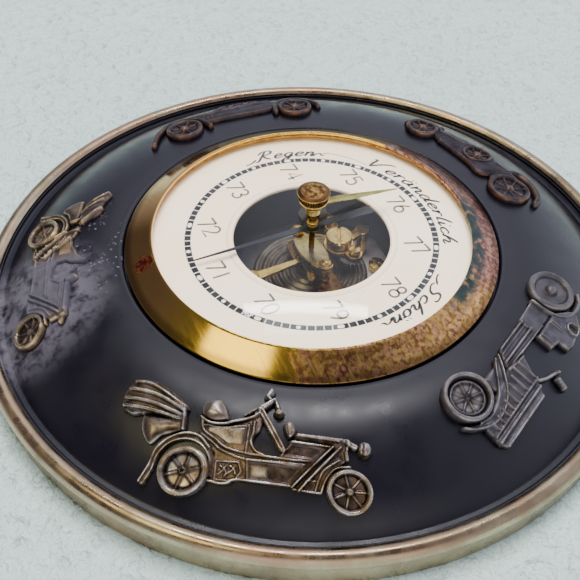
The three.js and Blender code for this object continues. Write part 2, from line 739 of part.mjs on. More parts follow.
function indicatingHand() {
  const outline = [
    [-0.9, 0], [-0.55, 20], [-0.16, 34], [0.16, 34], [0.55, 20], [0.9, 0], [1.5, -17.2], [-1.5, -17.2],
  ];
  const hand = cut(joined(prism(outline, 0, GAP), rod(2.2, 0, GAP)), rod(1.6, -1, 1));
  return lowered(hand, (y) => y * POINTER_FALL);
}

function setHand() {
  const reach = 27;
  const drop = 4.7;
  const shoulder = 5;
  const outline = [[-0.9, 0], [-1.25, 10], [-0.1, reach], [0.1, reach], [1.25, 10], [0.9, 0]];
  const blade = lowered(prism(outline, 0, 0.35), (y) => {
    return Math.max(0, (y - shoulder) / (reach - shoulder)) * drop;
  });
  return cut(joined(blade, rod(2.4, 0, 0.35)), rod(0.8, -1, 1, 12));
}

function setKnob() {
  const spindle = 0.5;
  const foot = -0.25;
  return turned(
    [
      [0, -6.4],
      [spindle, -6.4],
      [spindle, foot],
      [2.2, foot],
      [2.45, 0.4],
      [3, 0.9],
      [3.5, 1.1],
      [3.65, 1.4],
      [4.2, 3.3],
      [4.3, 3.6],
      [4.1, 4.15],
      [3.2, 4.5],
      [0, 4.7],
    ],
    24,
  );
}

// ---- assembly ----
addMesh(part, "case_body", caseBody(), "lacquer");
addMesh(part, "rim_ring", rimRing(), "rim");
addMesh(part, "back_plate", backPlate(), "back");
addMesh(part, "hanger_plate", hangerPlate(), "steel");
for (const [side, name] of [[-1, "left"], [1, "right"]]) {
  addMesh(part, `hanger_rivet_${name}`, at(hangerRivet(), side * 13, HANGER_Y), "steel");
}
backScrewPlaces().forEach(([x, y], i) => {
  addMesh(part, `back_screw_${i + 1}`, at(backScrew(), x, y), "steel");
});
for (const [name, car, radius, angle, roofs] of CARS) {
  addMesh(part, name, relief(car, radius, angle, roofs), "relief");
}
addMesh(part, "bezel_ring", bezelRing(), "bezel");
addMesh(part, "glass_dome", glassDome(), "glass");
addMesh(part, "glass_spring_ring", ring(43.9, 44.7, 22.1, 22.8), "brass");
addMesh(part, "dial_plate", dialPlate(), "dial");
addMesh(part, "movement_cup", movementCup(), "steel");

addMesh(part, "base_plate", basePlate(), "steel");
const carrier = at(rod(20.5, CARRIER_Z, CARRIER_Z + 0.7, 36), ...CARRIER_CENTRE);
addMesh(part, "carrier_plate", carrier, "nickel");
addMesh(part, "carrier_screw", at(slottedHead(2.3, 2, 0.6, 20), 4.8, 19.1, 5.4), "brass");
addMesh(part, "capsule_foot", rod(4, 5.4, 6.2), "brass");
addMesh(part, "aneroid_capsule", aneroidCapsule(), "capsule");
addMesh(part, "lower_bridge", lowerBridge(), "brass");
addMesh(part, "bridge_foot", at(rod(2, CARRIER_Z, LOWER_BRIDGE_Z - GAP), 18.8, 0), "brass");
for (const [side, name] of [[-1, "left"], [1, "right"]]) {
  const pillar = rod(1.25, LOWER_BRIDGE_Z + 1.2, TOP_BRIDGE_Z - GAP, 16);
  addMesh(part, `bridge_pillar_${name}`, at(pillar, side * PILLAR_X, 0), "brass");
}
addMesh(part, "top_bridge", topBridge(), "brass");
addMesh(
  part, "bridge_screw", at(slottedHead(1.8, 1.2, 0.5, 40, 16), -PILLAR_X, 0, TOP_BRIDGE_Z + 1), "brass",
);
const dome = turned([[0, 0], [2, 0], [2, 0.5], [1.5, 1.3], [0.8, 1.7], [0, 1.8]], 16);
addMesh(part, "bridge_nut", at(dome, PILLAR_X, 0, TOP_BRIDGE_Z + 1), "brass");

addMesh(part, "top_bracket", topBracket(), "brass");
const bracketPost = rod(1.9, CARRIER_Z + 1, BRACKET_Z - GAP, 16);
addMesh(part, "bracket_post", at(bracketPost, ...BRACKET_FOOT), "brass");
const headZ = BRACKET_Z + 1.2;
addMesh(part, "spring_screw", at(slottedHead(3.6, 2.7, 0.7, 149.5, 24), ...BIG_SCREW, headZ), "brass");
addMesh(part, "trim_screw", at(slottedHead(1.7, 1.3, 0.5, 116.8), ...TRIM_SCREW, headZ), "brass");
addMesh(part, "bracket_stud", at(slottedHead(1.5, 2.2, 0.5, 60, 16), ...BRACKET_STUD, headZ), "brass");
addMesh(part, "lock_washer", at(lockWasher(), 4.2, 10.2), "steel");
addMesh(part, "sector_post", at(sectorPost(), 0, -SECTOR_DISTANCE), "brass");
addMesh(part, "rocker_stand_inner", at(rockerStand(), ROCKER_X, -SECTOR_DISTANCE + 0.2), "brass");
addMesh(part, "rocker_stand_outer", at(rockerStand(), ROCKER_X, -SECTOR_DISTANCE - 6), "brass");
addMesh(part, "glass_washer", ring(1.4, 3.8, 29.6, 30.1, SMALL_SEGMENTS), "brass");
const bush = turned(
  [[0.8, 26.9], [1.5, 26.9], [1.5, 27.6], [1.05, 27.6], [1.05, 30.4], [1.9, 30.4], [1.9, 32], [0.8, 32]],
  SMALL_SEGMENTS,
);
addMesh(part, "glass_bush", bush, "brass");

// capsule post: slides along Z with the capsule's top
addMesh(part, "capsule_post", rod(0.9, CAPSULE_TOP, ROCKER_Z - 0.6, 12), "brass");

// rocker: turns about an axis along Y through its own origin
const rocker = new THREE.Group();
rocker.position.set(ROCKER_X, -SECTOR_DISTANCE + 1.9, ROCKER_Z);
addMesh(rocker, "rocker_shaft", rockerShaft(), "brass");
part.add(rocker);

// sector: turns about Z through its own origin
const sector = new THREE.Group();
sector.position.set(0, -SECTOR_DISTANCE, 0);
addMesh(sector, "sector_lever", sectorLever(), "brass");
part.add(sector);

// pointer: turns about Z
addMesh(part, "pointer_arbor", pointerArbor(), "steel");
addMesh(part, "hairspring", hairspring(), "steel");
addMesh(part, "hand_collet", ring(0.8, 1.3, POINTER_Z - 1.2, POINTER_Z + 0.9, 16), "brass");
const hand = indicatingHand().rotateZ(rad(POINTER_ANGLE)).translate(0, 0, POINTER_Z);
addMesh(part, "indicating_hand", hand, "hand");

// set hand: turns about Z
const setter = new THREE.Group();
setter.position.set(0, 0, KNOB_TOP - 4.7);
addMesh(setter, "set_knob", setKnob(), "brass");
addMesh(setter, "set_hand", setHand().translate(0, 0, -0.95), "brass");
part.add(setter);

// adjusting screw: turns about Z
const adjuster = new THREE.Group();
adjuster.position.set(...ADJUSTER, 0);
const adjusterProfile = [[0, 1.2], [2, 1.2], [2, 2.9], [1.1, 2.9], [1.1, 4.3], [0, 4.3]];
const adjusterScrew = turned(adjusterProfile, SMALL_SEGMENTS);
addMesh(adjuster, "adjusting_screw", cut(adjusterScrew, box(0, 0, 1, 6, 0.6, 0.9)), "brass");
part.add(adjuster);

export default part;
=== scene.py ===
"""Looks for the decorative aneroid wall barometer. Lengths are millimetres until MM scales them."""

import math

import bmesh
import bpy
import numpy as np
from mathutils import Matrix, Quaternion, Vector


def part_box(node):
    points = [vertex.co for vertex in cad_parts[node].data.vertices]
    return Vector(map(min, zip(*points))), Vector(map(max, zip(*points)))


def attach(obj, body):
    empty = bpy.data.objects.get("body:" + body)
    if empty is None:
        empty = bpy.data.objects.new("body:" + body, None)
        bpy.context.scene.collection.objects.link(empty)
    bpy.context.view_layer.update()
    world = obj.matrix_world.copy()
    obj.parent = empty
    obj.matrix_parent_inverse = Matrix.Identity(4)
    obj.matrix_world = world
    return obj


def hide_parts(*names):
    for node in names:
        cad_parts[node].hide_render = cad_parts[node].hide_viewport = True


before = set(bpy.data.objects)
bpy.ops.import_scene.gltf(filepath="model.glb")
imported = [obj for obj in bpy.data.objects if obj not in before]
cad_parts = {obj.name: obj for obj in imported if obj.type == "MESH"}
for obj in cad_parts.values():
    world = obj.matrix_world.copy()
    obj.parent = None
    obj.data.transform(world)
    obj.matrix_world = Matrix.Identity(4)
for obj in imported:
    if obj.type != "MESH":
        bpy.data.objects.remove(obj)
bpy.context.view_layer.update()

MM = 0.001
BODY_LIP = (52.5, 20.7)  # radius and height of the case body's inner lip
BODY_ARC = 43.0
BODY_EDGE = 82.5
BEZEL_RADII = (42.4, 50.0)
SCALE_RING = (32.45, 34.1)
WINDOW_LINE = 22.9
NUMERAL_RADIUS, NUMERAL_HEIGHT, NUMERAL_STROKE = 28.0, 4.7, 0.6
WORD_RADIUS, LETTER_HEIGHT, LETTER_SLANT = 35.25, 1.95, 0.45
DIAL_TOP = 21.8
POINTER_ANGLE = 171.5
KNOB_BASE = 33.3
LEAST_RELIEF, SKIRT = 0.25, -0.35  # how high a casting stands at least, and how deep its border sinks in


# ---------------------------------------------------------------- helpers: meshes
def box_mm(node):
    low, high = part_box(node)
    return np.array(low) / MM, np.array(high) / MM


def centre_mm(node):
    low, high = box_mm(node)
    return (low + high) / 2


def piece(name, points, faces, look, body="case", stands_for=(), smooth=True, sharp=None):
    mesh = bpy.data.meshes.new(name)
    mesh.from_pydata((np.asarray(points, float) * MM).tolist(), [], [list(map(int, f)) for f in faces])
    mesh.materials.append(look)
    if smooth:
        mesh.shade_smooth()
    if sharp:
        mesh.set_sharp_from_angle(angle=math.radians(sharp))
    mesh.update()
    obj = bpy.data.objects.new(name, mesh)
    bpy.context.scene.collection.objects.link(obj)
    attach(obj, body)
    if stands_for:
        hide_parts(*stands_for)
    return obj


def clean(points, faces):
    """Welds doubled points and turns the faces outwards."""
    bm = bmesh.new()
    verts = [bm.verts.new(p) for p in np.asarray(points, float).tolist()]
    for f in faces:
        corners = [verts[int(i)] for i in f]
        if len(set(corners)) > 2:
            bm.faces.new(corners)
    bmesh.ops.remove_doubles(bm, verts=bm.verts, dist=1e-4)
    bmesh.ops.recalc_face_normals(bm, faces=bm.faces)
    bm.verts.index_update()
    out = [v.co[:] for v in bm.verts], [[v.index for v in f.verts] for f in bm.faces]
    bm.free()
    return out


def rounded(profile, fillet=0.15, steps=4):
    """A closed profile of (r, z) or (r, z, fillet) with its corners rounded and its flats held straight."""
    n = len(profile)
    out = []
    for i, corner in enumerate(profile):
        p = np.array(corner[:2], float)
        f = corner[2] if len(corner) > 2 else fillet
        a = np.array(profile[i - 1][:2], float) - p
        b = np.array(profile[(i + 1) % n][:2], float) - p
        la, lb = np.linalg.norm(a), np.linalg.norm(b)
        if f <= 0 or la < 1e-6 or lb < 1e-6 or p[0] <= 0:
            out.append(p)
            continue
        a, b = a / la, b / lb
        half = math.acos(float(np.clip(a @ b, -1, 1))) / 2
        if half > math.radians(87):
            out.append(p)
            continue
        reach = min(f / math.tan(half), 0.42 * la, 0.42 * lb)
        radius = reach * math.tan(half)
        middle = a + b
        centre = p + middle / np.linalg.norm(middle) * radius / math.sin(half)
        start, end = p + a * reach, p + b * reach
        out.append(start + a * min(0.08 * la, reach))
        for k in range(steps + 1):
            t = k / steps
            chord = start * (1 - t) + end * t - centre
            out.append(centre + chord / np.linalg.norm(chord) * radius)
        out.append(end + b * min(0.08 * lb, reach))
    return out


def lathe(profile, segments=240, at=(0, 0, 0), fillet=0.15):
    """Points and faces of a closed profile turned about Z."""
    rows = rounded(profile, fillet)
    turn = np.linspace(0, 2 * math.pi, segments, endpoint=False)
    rz = np.array(rows)
    x = rz[:, None, 0] * np.cos(turn)[None] + at[0]
    y = rz[:, None, 0] * np.sin(turn)[None] + at[1]
    z = np.repeat(rz[:, 1:2], segments, 1) + at[2]
    points = np.stack([x, y, z], -1).reshape(-1, 3)
    count = len(rows)
    faces = []
    for i in range(count):
        j = (i + 1) % count
        for k in range(segments):
            m = (k + 1) % segments
            faces.append((i * segments + k, i * segments + m, j * segments + m, j * segments + k))
    return clean(points, faces)


def joined(*parts):
    points, faces = [], []
    for p, f in parts:
        start = len(points)
        points.extend(p)
        faces.extend([[i + start for i in face] for face in f])
    return points, faces


def slab(outline, bottom, top, bevel=0.12, at=(0, 0), turn=0.0):
    """A flat outline lifted from bottom to top, with its edges rounded."""
    c, s = math.cos(turn), math.sin(turn)
    flat = [(x * c - y * s + at[0], x * s + y * c + at[1]) for x, y in outline]
    area = sum(a[0] * b[1] - b[0] * a[1] for a, b in zip(flat, flat[1:] + flat[:1]))
    if area < 0:
        flat.reverse()
    n = len(flat)
    bm = bmesh.new()
    low = [bm.verts.new((x, y, bottom)) for x, y in flat]
    high = [bm.verts.new((x, y, top)) for x, y in flat]
    bm.faces.new(high)
    bm.faces.new(low[::-1])
    for i in range(n):
        j = (i + 1) % n
        bm.faces.new((low[i], low[j], high[j], high[i]))
    bm.normal_update()
    if bevel:
        rim = [e for e in bm.edges if e.calc_face_angle(0) > math.radians(50)]
        bmesh.ops.bevel(bm, geom=rim, offset=bevel, segments=3, profile=0.5, affect="EDGES")
    bm.verts.index_update()
    out = [v.co[:] for v in bm.verts], [[v.index for v in f.verts] for f in bm.faces]
    bm.free()
    return out


def arc(x, y, radius, start, end, steps):
    turns = [math.radians(start + (end - start) * i / steps) for i in range(steps + 1)]
    return [(x + radius * math.cos(t), y + radius * math.sin(t)) for t in turns]


def slotted(radius, height, slot, turn, at, dome=0.0, segments=64):
    """A cheese head with a screwdriver slot: a base disc and two raised halves."""
    x, y, z = at
    floor = height - 0.75
    base = lathe([(0, z), (radius, z), (radius, z + floor), (0, z + floor)], segments, (x, y, 0), 0.08)
    edge = math.degrees(math.asin(slot / 2 / radius))
    half = arc(0, 0, radius, edge, 180 - edge, 40)
    other = arc(0, 0, radius, 180 + edge, 360 - edge, 40)
    halves = [slab(h, z + floor - 0.05, z + height, 0.16, (x, y), math.radians(turn)) for h in (half, other)]
    if dome:
        for points, _ in halves:
            for i, p in enumerate(points):
                if p[2] > z + floor:
                    far = ((p[0] - x) ** 2 + (p[1] - y) ** 2) / radius**2
                    points[i] = (p[0], p[1], p[2] - dome * far)
    return joined(base, *halves)


# ---------------------------------------------------------------- helpers: materials
def srgb(r, g, b):
    linear = (((c / 255 + 0.055) / 1.055) ** 2.4 if c > 10 else c / 255 / 12.92 for c in (r, g, b))
    return tuple(linear) + (1.0,)


class Look:
    """A node material, with short calls for the nodes that the looks below use."""

    def __init__(self, name, slot, **sockets):
        self.material = bpy.data.materials.new(name)
        self.material.use_nodes = True
        self.material["slot"] = slot
        self.nodes = self.material.node_tree.nodes
        self.links = self.material.node_tree.links
        self.shader = self.nodes["Principled BSDF"]
        self.set(**sockets)
        self.where = self.nodes.new("ShaderNodeTexCoord").outputs["Object"]

    def set(self, **sockets):
        for key, value in sockets.items():
            socket = self.shader.inputs[key.replace("_", " ")]
            if hasattr(value, "links"):
                self.links.new(value, socket)
            else:
                socket.default_value = value

    def _fill(self, node, values):
        for key, value in values.items():
            if hasattr(value, "links"):
                self.links.new(value, node.inputs[key])
            else:
                node.inputs[key].default_value = value

    def noise(self, scale, detail=4.0, rough=0.55, where=None):
        node = self.nodes.new("ShaderNodeTexNoise")
        self._fill(node, {"Vector": where or self.where, "Scale": scale, "Detail": detail,
            "Roughness": rough})
        return node.outputs["Fac"]

    def cells(self, scale, feature="F1"):
        node = self.nodes.new("ShaderNodeTexVoronoi")
        node.feature = feature
        self._fill(node, {"Vector": self.where, "Scale": scale})
        return node.outputs["Distance"]

    def stretch(self, x, y, z):
        node = self.nodes.new("ShaderNodeMapping")
        self._fill(node, {"Vector": self.where, "Scale": (x, y, z)})
        return node.outputs["Vector"]

    def math(self, kind, a, b=0.0, clamp=False):
        node = self.nodes.new("ShaderNodeMath")
        node.operation = kind
        node.use_clamp = clamp
        self._fill(node, {0: a, 1: b})
        return node.outputs[0]

    def plus(self, a, b, clamp=False):
        return self.math("ADD", a, b, clamp)

    def times(self, a, b, clamp=False):
        return self.math("MULTIPLY", a, b, clamp)

    def ease(self, value, low, high, to_low=0.0, to_high=1.0):
        node = self.nodes.new("ShaderNodeMapRange")
        node.interpolation_type = "SMOOTHSTEP"
        self._fill(node, {"Value": value, "From Min": low, "From Max": high, "To Min": to_low,
            "To Max": to_high})
        return node.outputs["Result"]

    def mix(self, share, a, b):
        node = self.nodes.new("ShaderNodeMix")
        node.data_type = "RGBA"
        self._fill(node, {0: share, 6: a, 7: b})
        return node.outputs[2]

    def attribute(self, name):
        node = self.nodes.new("ShaderNodeAttribute")
        node.attribute_name = name
        return node.outputs["Fac"]

    def bump(self, height, strength, distance):
        node = self.nodes.new("ShaderNodeBump")
        self._fill(node, {"Height": height, "Strength": strength, "Distance": distance})
        self.links.new(node.outputs["Normal"], self.shader.inputs["Normal"])

    def split(self):
        node = self.nodes.new("ShaderNodeSeparateXYZ")
        self._fill(node, {"Vector": self.where})
        return node.outputs["X"], node.outputs["Y"], node.outputs["Z"]

    def near(self, x, y, radius, soft):
        """1 inside a round patch about (x, y) in millimetres, falling to 0 over soft."""
        return self.ease(self.radius(x * MM, y * MM), radius * MM, (radius + soft) * MM, 1.0, 0.0)

    def sector(self, centre, half, soft):
        """1 where the direction from the axis is within half degrees of centre (anticlockwise from 12)."""
        px, py, _ = self.split()
        c, s = -math.sin(math.radians(centre)), math.cos(math.radians(centre))
        along = self.plus(self.times(px, c), self.times(py, s))
        cosine = self.math("DIVIDE", along, self.radius())
        return self.ease(cosine, math.cos(math.radians(half + soft)), math.cos(math.radians(half)))

    def radius(self, x=0.0, y=0.0):
        """How far a point is from the line through (x, y), in metres."""
        px, py, _ = self.split()
        dx, dy = self.math("SUBTRACT", px, x), self.math("SUBTRACT", py, y)
        return self.math("SQRT", self.plus(self.times(dx, dx), self.times(dy, dy)))


def polar(radius, angle):
    a = math.radians(angle)
    return -radius * math.sin(a), radius * math.cos(a)


def lacquer_look():
    look = Look("black_lacquer", "lacquer")
    patch_x, patch_y = polar(76, 166)
    haze = look.near(patch_x, patch_y, 12, 14)
    cloud = look.ease(look.noise(260, 6, 0.65), 0.32, 0.62)
    crust = look.times(haze, cloud)
    speck_zone = look.near(*polar(65, 158), 13, 9)
    specks = look.ease(look.cells(800), 0.18, 0.36, 1.0, 0.0)
    thin = look.ease(look.noise(150, 3), 0.44, 0.56)
    speckle = look.times(look.times(specks, speck_zone), thin)
    dust = look.times(look.ease(look.cells(330), 0.04, 0.1, 1.0, 0.0),
        look.ease(look.noise(60, 2), 0.55, 0.75, 0.0, 0.35))
    pale = look.math("MAXIMUM", look.times(crust, 0.85), look.math("MAXIMUM", speckle, dust))
    tone = look.mix(look.noise(35, 3), srgb(5, 4, 12), srgb(9, 7, 18))
    look.set(
        Base_Color=look.mix(pale, tone, srgb(76, 73, 84)),
        Roughness=look.plus(look.ease(look.noise(120, 5), 0.3, 0.7, 0.26, 0.4),
                            look.times(pale, 0.35)),
        Specular_IOR_Level=0.5, Coat_Weight=0.1, Coat_Roughness=0.3,
    )
    grain = look.plus(look.times(look.noise(900, 4), 0.5), look.times(pale, 1.6))
    look.bump(grain, 0.25, 0.00006)
    return look.material


def rim_look():
    look = Look("rim_brass", "rim_brass", Metallic=1.0)
    wear = look.noise(45, 5, 0.6)
    copper = look.ease(look.noise(26, 3), 0.45, 0.62)
    base = look.mix(look.ease(wear, 0.35, 0.65), srgb(156, 136, 110), srgb(204, 186, 154))
    base = look.mix(look.times(copper, 0.6), base, srgb(184, 142, 116))
    look.set(Base_Color=base, Roughness=look.ease(look.noise(200, 5), 0.3, 0.7, 0.2, 0.42))
    look.bump(look.noise(700, 5), 0.12, 0.00004)
    return look.material


def relief_look(name, low, high, gold, worn_light, worn_dark, rough, crusted=False):
    """Bronzed casting: a patina with warm patches, rubbed bright on its ridges, with painted shade in its
    hollows.
    """
    look = Look(name, "relief_metal", Metallic=0.92)
    rub = look.attribute("rub")
    recess_shade = look.attribute("recess_shade")
    patina = look.mix(look.ease(look.noise(220, 6, 0.62), 0.35, 0.65), low, high)
    warm = look.mix(look.ease(look.noise(90, 5), 0.45, 0.75, 0.0, 0.6), patina, gold)
    bright = look.mix(look.ease(look.noise(260, 4), 0.35, 0.65), worn_light, worn_dark)
    patchy = look.ease(look.noise(300, 5, 0.6), 0.3, 0.62, 0.25, 1.0)
    base = look.mix(look.times(rub, patchy, clamp=True), warm, bright)
    # painted shade: the shaded share of the casting turns near black
    base = look.mix(look.times(recess_shade, 0.92), base, srgb(16, 14, 16))
    roughness = look.math("SUBTRACT", look.ease(look.noise(420, 5), 0.3, 0.7, rough, rough + 0.2),
        look.times(rub, 0.06))
    grain = look.noise(1300, 5)
    if crusted:
        cloud = look.times(look.attribute("crust"), look.ease(look.noise(240, 6, 0.65), 0.24, 0.44))
        base = look.mix(cloud, base, look.mix(look.noise(500, 4), srgb(46, 44, 52), srgb(78, 75, 86)))
        roughness = look.plus(roughness, look.times(cloud, 0.4), clamp=True)
        look.set(Metallic=look.math("SUBTRACT", 0.92, look.times(cloud, 0.85)))
        grain = look.plus(grain, look.times(cloud, look.noise(400, 4)))
    look.set(Base_Color=base, Roughness=roughness)
    look.bump(grain, 0.25, 0.00006)
    return look.material


def bezel_look():
    look = Look("bezel_brass", "bezel_brass", Metallic=1.0)
    tarnish_zone = look.sector(-48, 74, 8)
    near_right = look.sector(-92, 34, 12)
    fine = look.ease(look.noise(820, 6, 0.66), 0.42, 0.58)
    grains = look.ease(look.cells(640), 0.2, 0.5)
    broad = look.ease(look.noise(260, 5), 0.36, 0.64)
    gold = look.mix(look.noise(60, 3), srgb(226, 182, 70), srgb(240, 202, 92))
    # painted reflection: the left side gets a duller, browner gold where the polished brass mirrors a darker
    # room
    gold = look.mix(look.sector(148, 30, 26), gold,
        look.mix(look.noise(160, 5), srgb(206, 156, 92), srgb(228, 182, 112)))
    copper = look.mix(fine, srgb(122, 76, 64), srgb(196, 142, 122))
    brown = look.mix(fine, srgb(136, 86, 58), srgb(238, 190, 120))
    mottled = look.mix(look.ease(grains, 0.0, 1.0, 0.25, 1.0), srgb(222, 150, 136), brown)
    mottled = look.mix(look.times(broad, 0.5), mottled, srgb(186, 148, 66))
    tarnished = look.mix(near_right, copper, mottled)
    edge = look.plus(tarnish_zone, look.ease(look.noise(260, 6, 0.65), 0.3, 0.7, -0.35, 0.35), clamp=True)
    share = look.ease(edge, 0.3, 0.7)
    base = look.mix(share, gold, tarnished)
    inward = look.ease(look.radius(), 0.0445, 0.0475, 1.0, 0.0)
    verdigris = look.times(look.times(look.sector(-40, 22, 12), inward),
        look.ease(look.noise(330, 6), 0.34, 0.52))
    teal = look.mix(look.noise(500, 4), srgb(34, 48, 50), srgb(96, 112, 108))
    base = look.mix(verdigris, base, teal)
    rust_x, rust_y = polar(45.4, 167.5)
    rust = look.times(look.near(rust_x, rust_y, 1.9, 1.5), look.ease(look.noise(320, 4), 0.2, 0.42))
    base = look.mix(rust, base, look.mix(fine, srgb(84, 34, 24), srgb(168, 84, 58)))
    side = look.ease(look.radius(), 0.0474, 0.0492)
    base = look.mix(look.times(side, 0.55), base, srgb(70, 52, 34))
    dull = look.math("MAXIMUM", look.times(share, 0.36), look.math("MAXIMUM", rust, verdigris))
    scratch = look.ease(look.noise(90, 4, 0.7, look.stretch(1, 14, 1)), 0.45, 0.62, 0.0, 0.06)
    look.set(Base_Color=base, Roughness=look.plus(look.times(dull, 0.42), look.plus(scratch, 0.11),
        clamp=True))
    look.bump(look.plus(look.times(look.noise(900, 5), look.plus(dull, 0.04)),
        look.times(grains, look.times(dull, 0.5))), 0.3, 0.00008)
    return look.material


def dial_look():
    look = Look("dial_paint", "dial_paint", Specular_IOR_Level=0.35)
    age = look.ease(look.noise(28, 4), 0.3, 0.7)
    base = look.mix(age, srgb(254, 230, 203), srgb(255, 237, 214))
    # darker and browner towards the outer edge, in patches
    outer_darkening = look.times(look.ease(look.radius(), 0.038, 0.0455), look.ease(look.noise(60, 4), 0.4, 0.7))
    look.set(Base_Color=look.mix(look.times(outer_darkening, 0.35), base, srgb(186, 164, 128)),
             Roughness=look.ease(look.noise(300, 3), 0.3, 0.7, 0.42, 0.55))
    look.bump(look.noise(1200, 4), 0.08, 0.00003)
    return look.material


def ink_look(name, dark, light):
    look = Look(name, "dial_paint")
    look.set(Base_Color=look.mix(look.ease(look.noise(500, 4), 0.35, 0.7), dark, light),
             Roughness=look.ease(look.noise(300, 3), 0.3, 0.7, 0.45, 0.6))
    return look.material


def brass_look(name, slot, light, dark, rough=0.2, worn=0.5):
    look = Look(name, slot, Metallic=1.0)
    mottle = look.ease(look.noise(380, 5, 0.6), 0.5 - worn * 0.12, 0.66)
    look.set(Base_Color=look.mix(mottle, light, dark),
        Roughness=look.ease(look.noise(600, 4), 0.3, 0.7, rough - 0.05, rough + 0.12))
    look.bump(look.noise(1400, 4), 0.1, 0.00003)
    return look.material


def knob_look():
    look = Look("knob_brass", "movement_brass", Metallic=1.0)
    _, _, z = look.split()
    top = look.ease(z, 0.0368, 0.0374)
    ring = look.ease(look.radius(), 0.0026, 0.0034)
    middle = look.mix(look.ease(look.noise(700, 6, 0.62), 0.4, 0.6), srgb(92, 62, 38), srgb(190, 152, 84))
    patches = look.mix(ring, middle, look.mix(look.noise(600, 5), srgb(96, 66, 44), srgb(150, 112, 74)))
    side = look.mix(look.ease(look.noise(500, 4), 0.5, 0.7), srgb(218, 184, 108), srgb(160, 118, 66))
    # painted shade in the knurl grooves
    side = look.mix(look.times(look.attribute("recess_shade"), 0.9), side, srgb(40, 26, 14))
    look.set(Base_Color=look.mix(top, side, patches), Roughness=look.ease(top, 0.0, 1.0, 0.2, 0.34))
    look.bump(look.noise(1500, 5), 0.15, 0.00004)
    return look.material


def slate_look():
    look = Look("slate_plate", "dark_plate", Metallic=0.55)
    specks = look.ease(look.cells(760), 0.06, 0.14, 1.0, 0.0)
    thin = look.ease(look.noise(200, 2), 0.45, 0.65)
    base = look.mix(look.noise(90, 3), srgb(82, 82, 96), srgb(108, 108, 122))
    look.set(Base_Color=look.mix(look.times(specks, thin), base, srgb(170, 174, 184)),
             Roughness=look.ease(look.noise(260, 4), 0.3, 0.7, 0.3, 0.45))
    look.bump(look.noise(1200, 4), 0.15, 0.00004)
    return look.material


def metal_look(name, slot, light, dark, rough, metallic=1.0):
    look = Look(name, slot, Metallic=metallic)
    look.set(Base_Color=look.mix(look.ease(look.noise(180, 5), 0.35, 0.68), light, dark),
             Roughness=look.ease(look.noise(400, 4), 0.3, 0.7, rough - 0.06, rough + 0.1))
    look.bump(look.noise(1300, 4), 0.1, 0.00004)
    return look.material


def nickel_look():
    """A painted pool of light: bright in a round patch, painted grey shade elsewhere."""
    look = Look("nickel_plate", "nickel", Metallic=0.6)
    lit_patch = look.near(3, 16, 6, 11)
    bright = look.mix(look.ease(look.noise(180, 5), 0.35, 0.68), srgb(214, 200, 206), srgb(186, 172, 178))
    dull = look.mix(look.noise(300, 4), srgb(70, 68, 74), srgb(96, 92, 96))
    # painted light and shade: lit in the patch, shaded grey around it
    look.set(Base_Color=look.mix(lit_patch, dull, bright),
        Roughness=look.ease(look.noise(400, 4), 0.3, 0.7, 0.28, 0.44))
    look.bump(look.noise(1300, 4), 0.1, 0.00004)
    return look.material


def glass_look(name, slot, tint, floor):
    look = Look(name, slot)
    nodes, links = look.nodes, look.links
    clear = nodes.new("ShaderNodeBsdfTransparent")
    clear.inputs["Color"].default_value = tint
    shine = nodes.new("ShaderNodeBsdfGlossy")
    look._fill(shine, {"Roughness": look.ease(look.noise(120, 4), 0.3, 0.7, 0.02, 0.05)})
    graze = nodes.new("ShaderNodeLayerWeight")
    graze.inputs["Blend"].default_value = 0.5
    share = look.plus(look.times(look.math("POWER", graze.outputs["Facing"], 5.0), 0.9), floor)
    blend = nodes.new("ShaderNodeMixShader")
    links.new(share, blend.inputs[0])
    links.new(clear.outputs[0], blend.inputs[1])
    links.new(shine.outputs[0], blend.inputs[2])
    links.new(blend.outputs[0], nodes["Material Output"].inputs["Surface"])
    nodes.remove(look.shader)
    return look.material


LACQUER = lacquer_look()
RIM = rim_look()
RELIEF = relief_look("bronzed_relief", srgb(56, 46, 42), srgb(114, 98, 92), srgb(132, 102, 60),
    srgb(252, 246, 244), srgb(196, 170, 138), 0.22)
GREY_RELIEF = relief_look("grey_relief", srgb(70, 68, 76), srgb(98, 95, 102), srgb(98, 88, 86),
    srgb(184, 176, 178), srgb(160, 150, 150), 0.36)
DARK_RELIEF = relief_look("dark_relief", srgb(44, 41, 49), srgb(70, 64, 72), srgb(72, 60, 60),
    srgb(158, 118, 92), srgb(112, 96, 94), 0.36)
CRUSTED_RELIEF = relief_look("crusted_relief", srgb(70, 60, 58), srgb(102, 90, 90), srgb(118, 96, 64),
    srgb(220, 194, 156), srgb(212, 182, 142), 0.28, crusted=True)
BEZEL = bezel_look()
DIAL = dial_look()
INK = ink_look("scale_ink", srgb(22, 22, 26), srgb(44, 44, 48))
NUMBER_INK = ink_look("number_ink", srgb(80, 74, 68), srgb(110, 102, 94))
WORD_INK = ink_look("word_ink", srgb(22, 22, 26), srgb(50, 48, 52))
LINE_INK = ink_look("line_ink", srgb(120, 110, 98), srgb(160, 150, 136))
WHITE_INK = ink_look("dial_white", srgb(238, 236, 232), srgb(228, 225, 220))
GLASS = glass_look("clear_glass", "clear_glass", (0.98, 0.985, 0.98, 1), 0.035)
BRASS = brass_look("movement_brass", "movement_brass", srgb(240, 208, 120), srgb(200, 158, 84), 0.2)
PALE_BRASS = brass_look("bridge_brass", "movement_brass", srgb(204, 184, 128), srgb(172, 150, 96), 0.3)
RED_BRASS = brass_look("bronze", "movement_brass", srgb(128, 98, 60), srgb(88, 64, 38), 0.3)
HAND_BRASS = brass_look("set_hand_brass", "movement_brass", srgb(214, 204, 128), srgb(190, 176, 104), 0.3,
    0.1)
KNOB = knob_look()
SLATE = slate_look()
NICKEL = nickel_look()
CAPSULE = metal_look("capsule_sheet", "capsule_metal", srgb(140, 130, 120), srgb(104, 94, 84), 0.36, 0.9)
